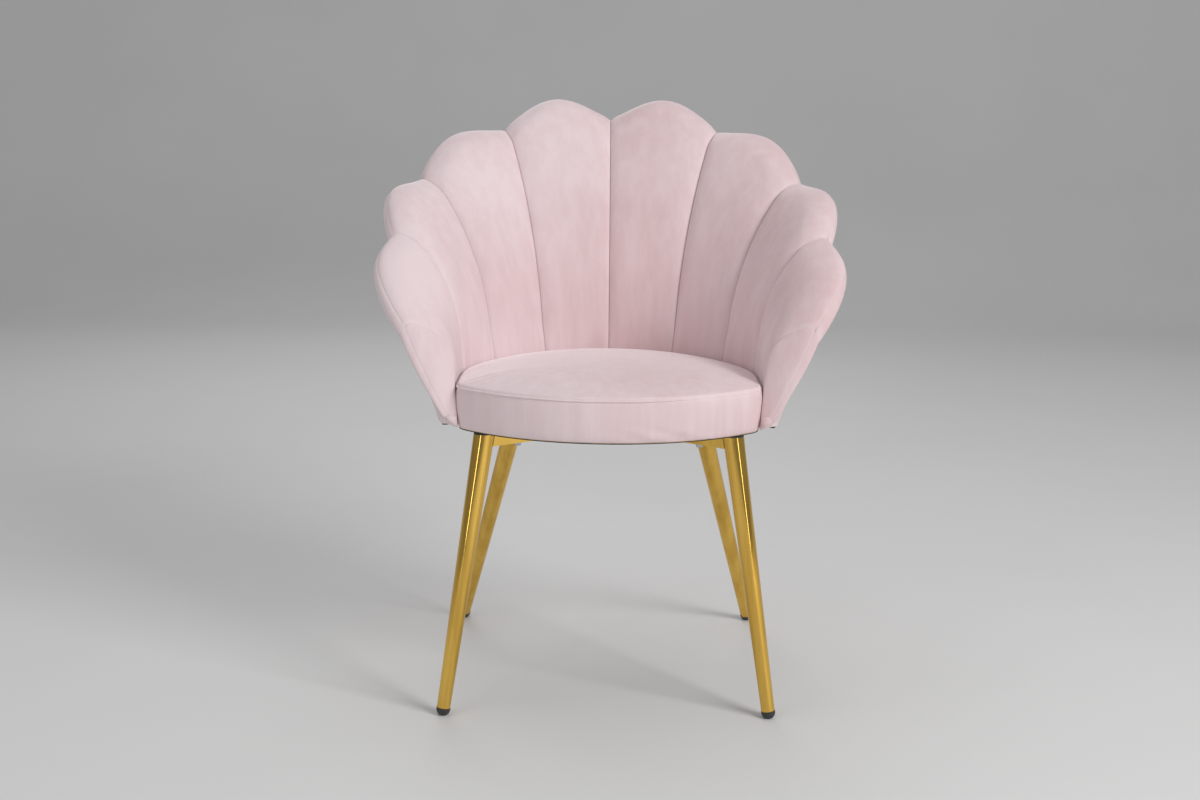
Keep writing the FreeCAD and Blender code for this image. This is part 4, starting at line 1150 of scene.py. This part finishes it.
class ARMCHAIR_OT_stage(bpy.types.Operator):
    """Plain pale floor and backdrop, soft lamps and the camera"""
    bl_idname = "armchair.stage"
    bl_label = "Studio"

    def execute(self, context):
        scene = context.scene
        studio = scene.armchair_studio
        profile = [(-FLOOR_HALF, 0.0)]
        for step in range(COVE_STEPS + 1):
            turn = math.pi / 2 * step / COVE_STEPS
            profile.append((BACKDROP_Y - COVE_RADIUS + COVE_RADIUS * math.sin(turn),
                            COVE_RADIUS - COVE_RADIUS * math.cos(turn)))
        profile.append((BACKDROP_Y, BACKDROP_HEIGHT))
        points = [(x, y, z) for x in (-FLOOR_HALF, FLOOR_HALF) for y, z in profile]
        count = len(profile)
        faces = [(i, i + 1, count + i + 1, count + i) for i in range(count - 1)]
        floor = new_piece("studio_floor", points, faces)
        floor.data.materials.append(material("pale_floor"))
        for name, place, size, power in LAMPS:
            self.lamp(name, place, size, getattr(studio, power))
        for name, place in STRIPS:
            self.lamp(name, place, STRIP_WIDTH, studio.strip_power, height=STRIP_HEIGHT)
        world = bpy.data.worlds.new("studio_air")
        world.use_nodes = True
        air = world.node_tree.nodes["Background"]
        air.inputs["Color"].default_value = AIR_COLOUR
        air.inputs["Strength"].default_value = studio.sky
        scene.world = world
        scene.view_settings.view_transform = "Standard"
        self.camera(scene, studio)
        return {"FINISHED"}

    def lamp(self, name, place, size, power, height=None):
        data = bpy.data.lights.new(name, "AREA")
        data.shape = "RECTANGLE"
        data.size = size
        data.size_y = height if height else size
        data.energy = power
        lamp = bpy.data.objects.new(name, data)
        lamp.visible_camera = False
        aim = Vector((0.0, 0.0, place[2] if height else AIM_HEIGHT)) - Vector(place)
        turn = aim.to_track_quat("-Z", "Y").to_matrix().to_4x4()
        lamp.matrix_world = Matrix.Translation(place) @ turn
        bpy.context.scene.collection.objects.link(lamp)

    def camera(self, scene, studio):
        data = bpy.data.cameras.new("studio_camera")
        data.lens = studio.lens
        data.sensor_width = SENSOR_WIDTH
        camera = bpy.data.objects.new("studio_camera", data)
        place = Matrix.Translation(
            (-studio.camera_x, -studio.camera_distance, studio.camera_height))
        tilt = Matrix.Rotation(math.pi / 2 - studio.camera_tilt, 4, "X")
        camera.matrix_world = place @ tilt @ Matrix.Rotation(studio.camera_roll, 4, "Z")
        scene.collection.objects.link(camera)
        scene.camera = camera


class ARMCHAIR_PT_sidebar(bpy.types.Panel):
    """Sizes, colours and steps of the armchair's dressing"""
    bl_idname = "ARMCHAIR_PT_sidebar"
    bl_label = "Armchair"
    bl_space_type = "VIEW_3D"
    bl_region_type = "UI"
    bl_category = "Armchair"

    def draw(self, context):
        scene = context.scene
        for group in (scene.armchair_padding, scene.armchair_colours, scene.armchair_studio):
            box = self.layout.box()
            for name in group.__annotations__:
                box.prop(group, name)
        for operator in STEPS:
            self.layout.operator(operator.bl_idname)


GROUPS = (
    ("armchair_padding", ArmchairPadding),
    ("armchair_colours", ArmchairColours),
    ("armchair_studio", ArmchairStudio),
)
STEPS = (
    ARMCHAIR_OT_petals,
    ARMCHAIR_OT_outer_cover,
    ARMCHAIR_OT_seat,
    ARMCHAIR_OT_metalwork,
    ARMCHAIR_OT_underside,
    ARMCHAIR_OT_stage,
)


def register():
    for name, group in GROUPS:
        bpy.utils.register_class(group)
        setattr(bpy.types.Scene, name, bpy.props.PointerProperty(type=group))
    for operator in STEPS:
        bpy.utils.register_class(operator)
    bpy.utils.register_class(ARMCHAIR_PT_sidebar)


def unregister():
    bpy.utils.unregister_class(ARMCHAIR_PT_sidebar)
    for operator in reversed(STEPS):
        bpy.utils.unregister_class(operator)
    for name, group in reversed(GROUPS):
        delattr(bpy.types.Scene, name)
        bpy.utils.unregister_class(group)


def main():
    register()
    bpy.ops.armchair.petals()
    bpy.ops.armchair.outer_cover()
    bpy.ops.armchair.seat()
    bpy.ops.armchair.metalwork()
    bpy.ops.armchair.underside()
    bpy.ops.armchair.stage()


if __name__ == "__main__":
    main()
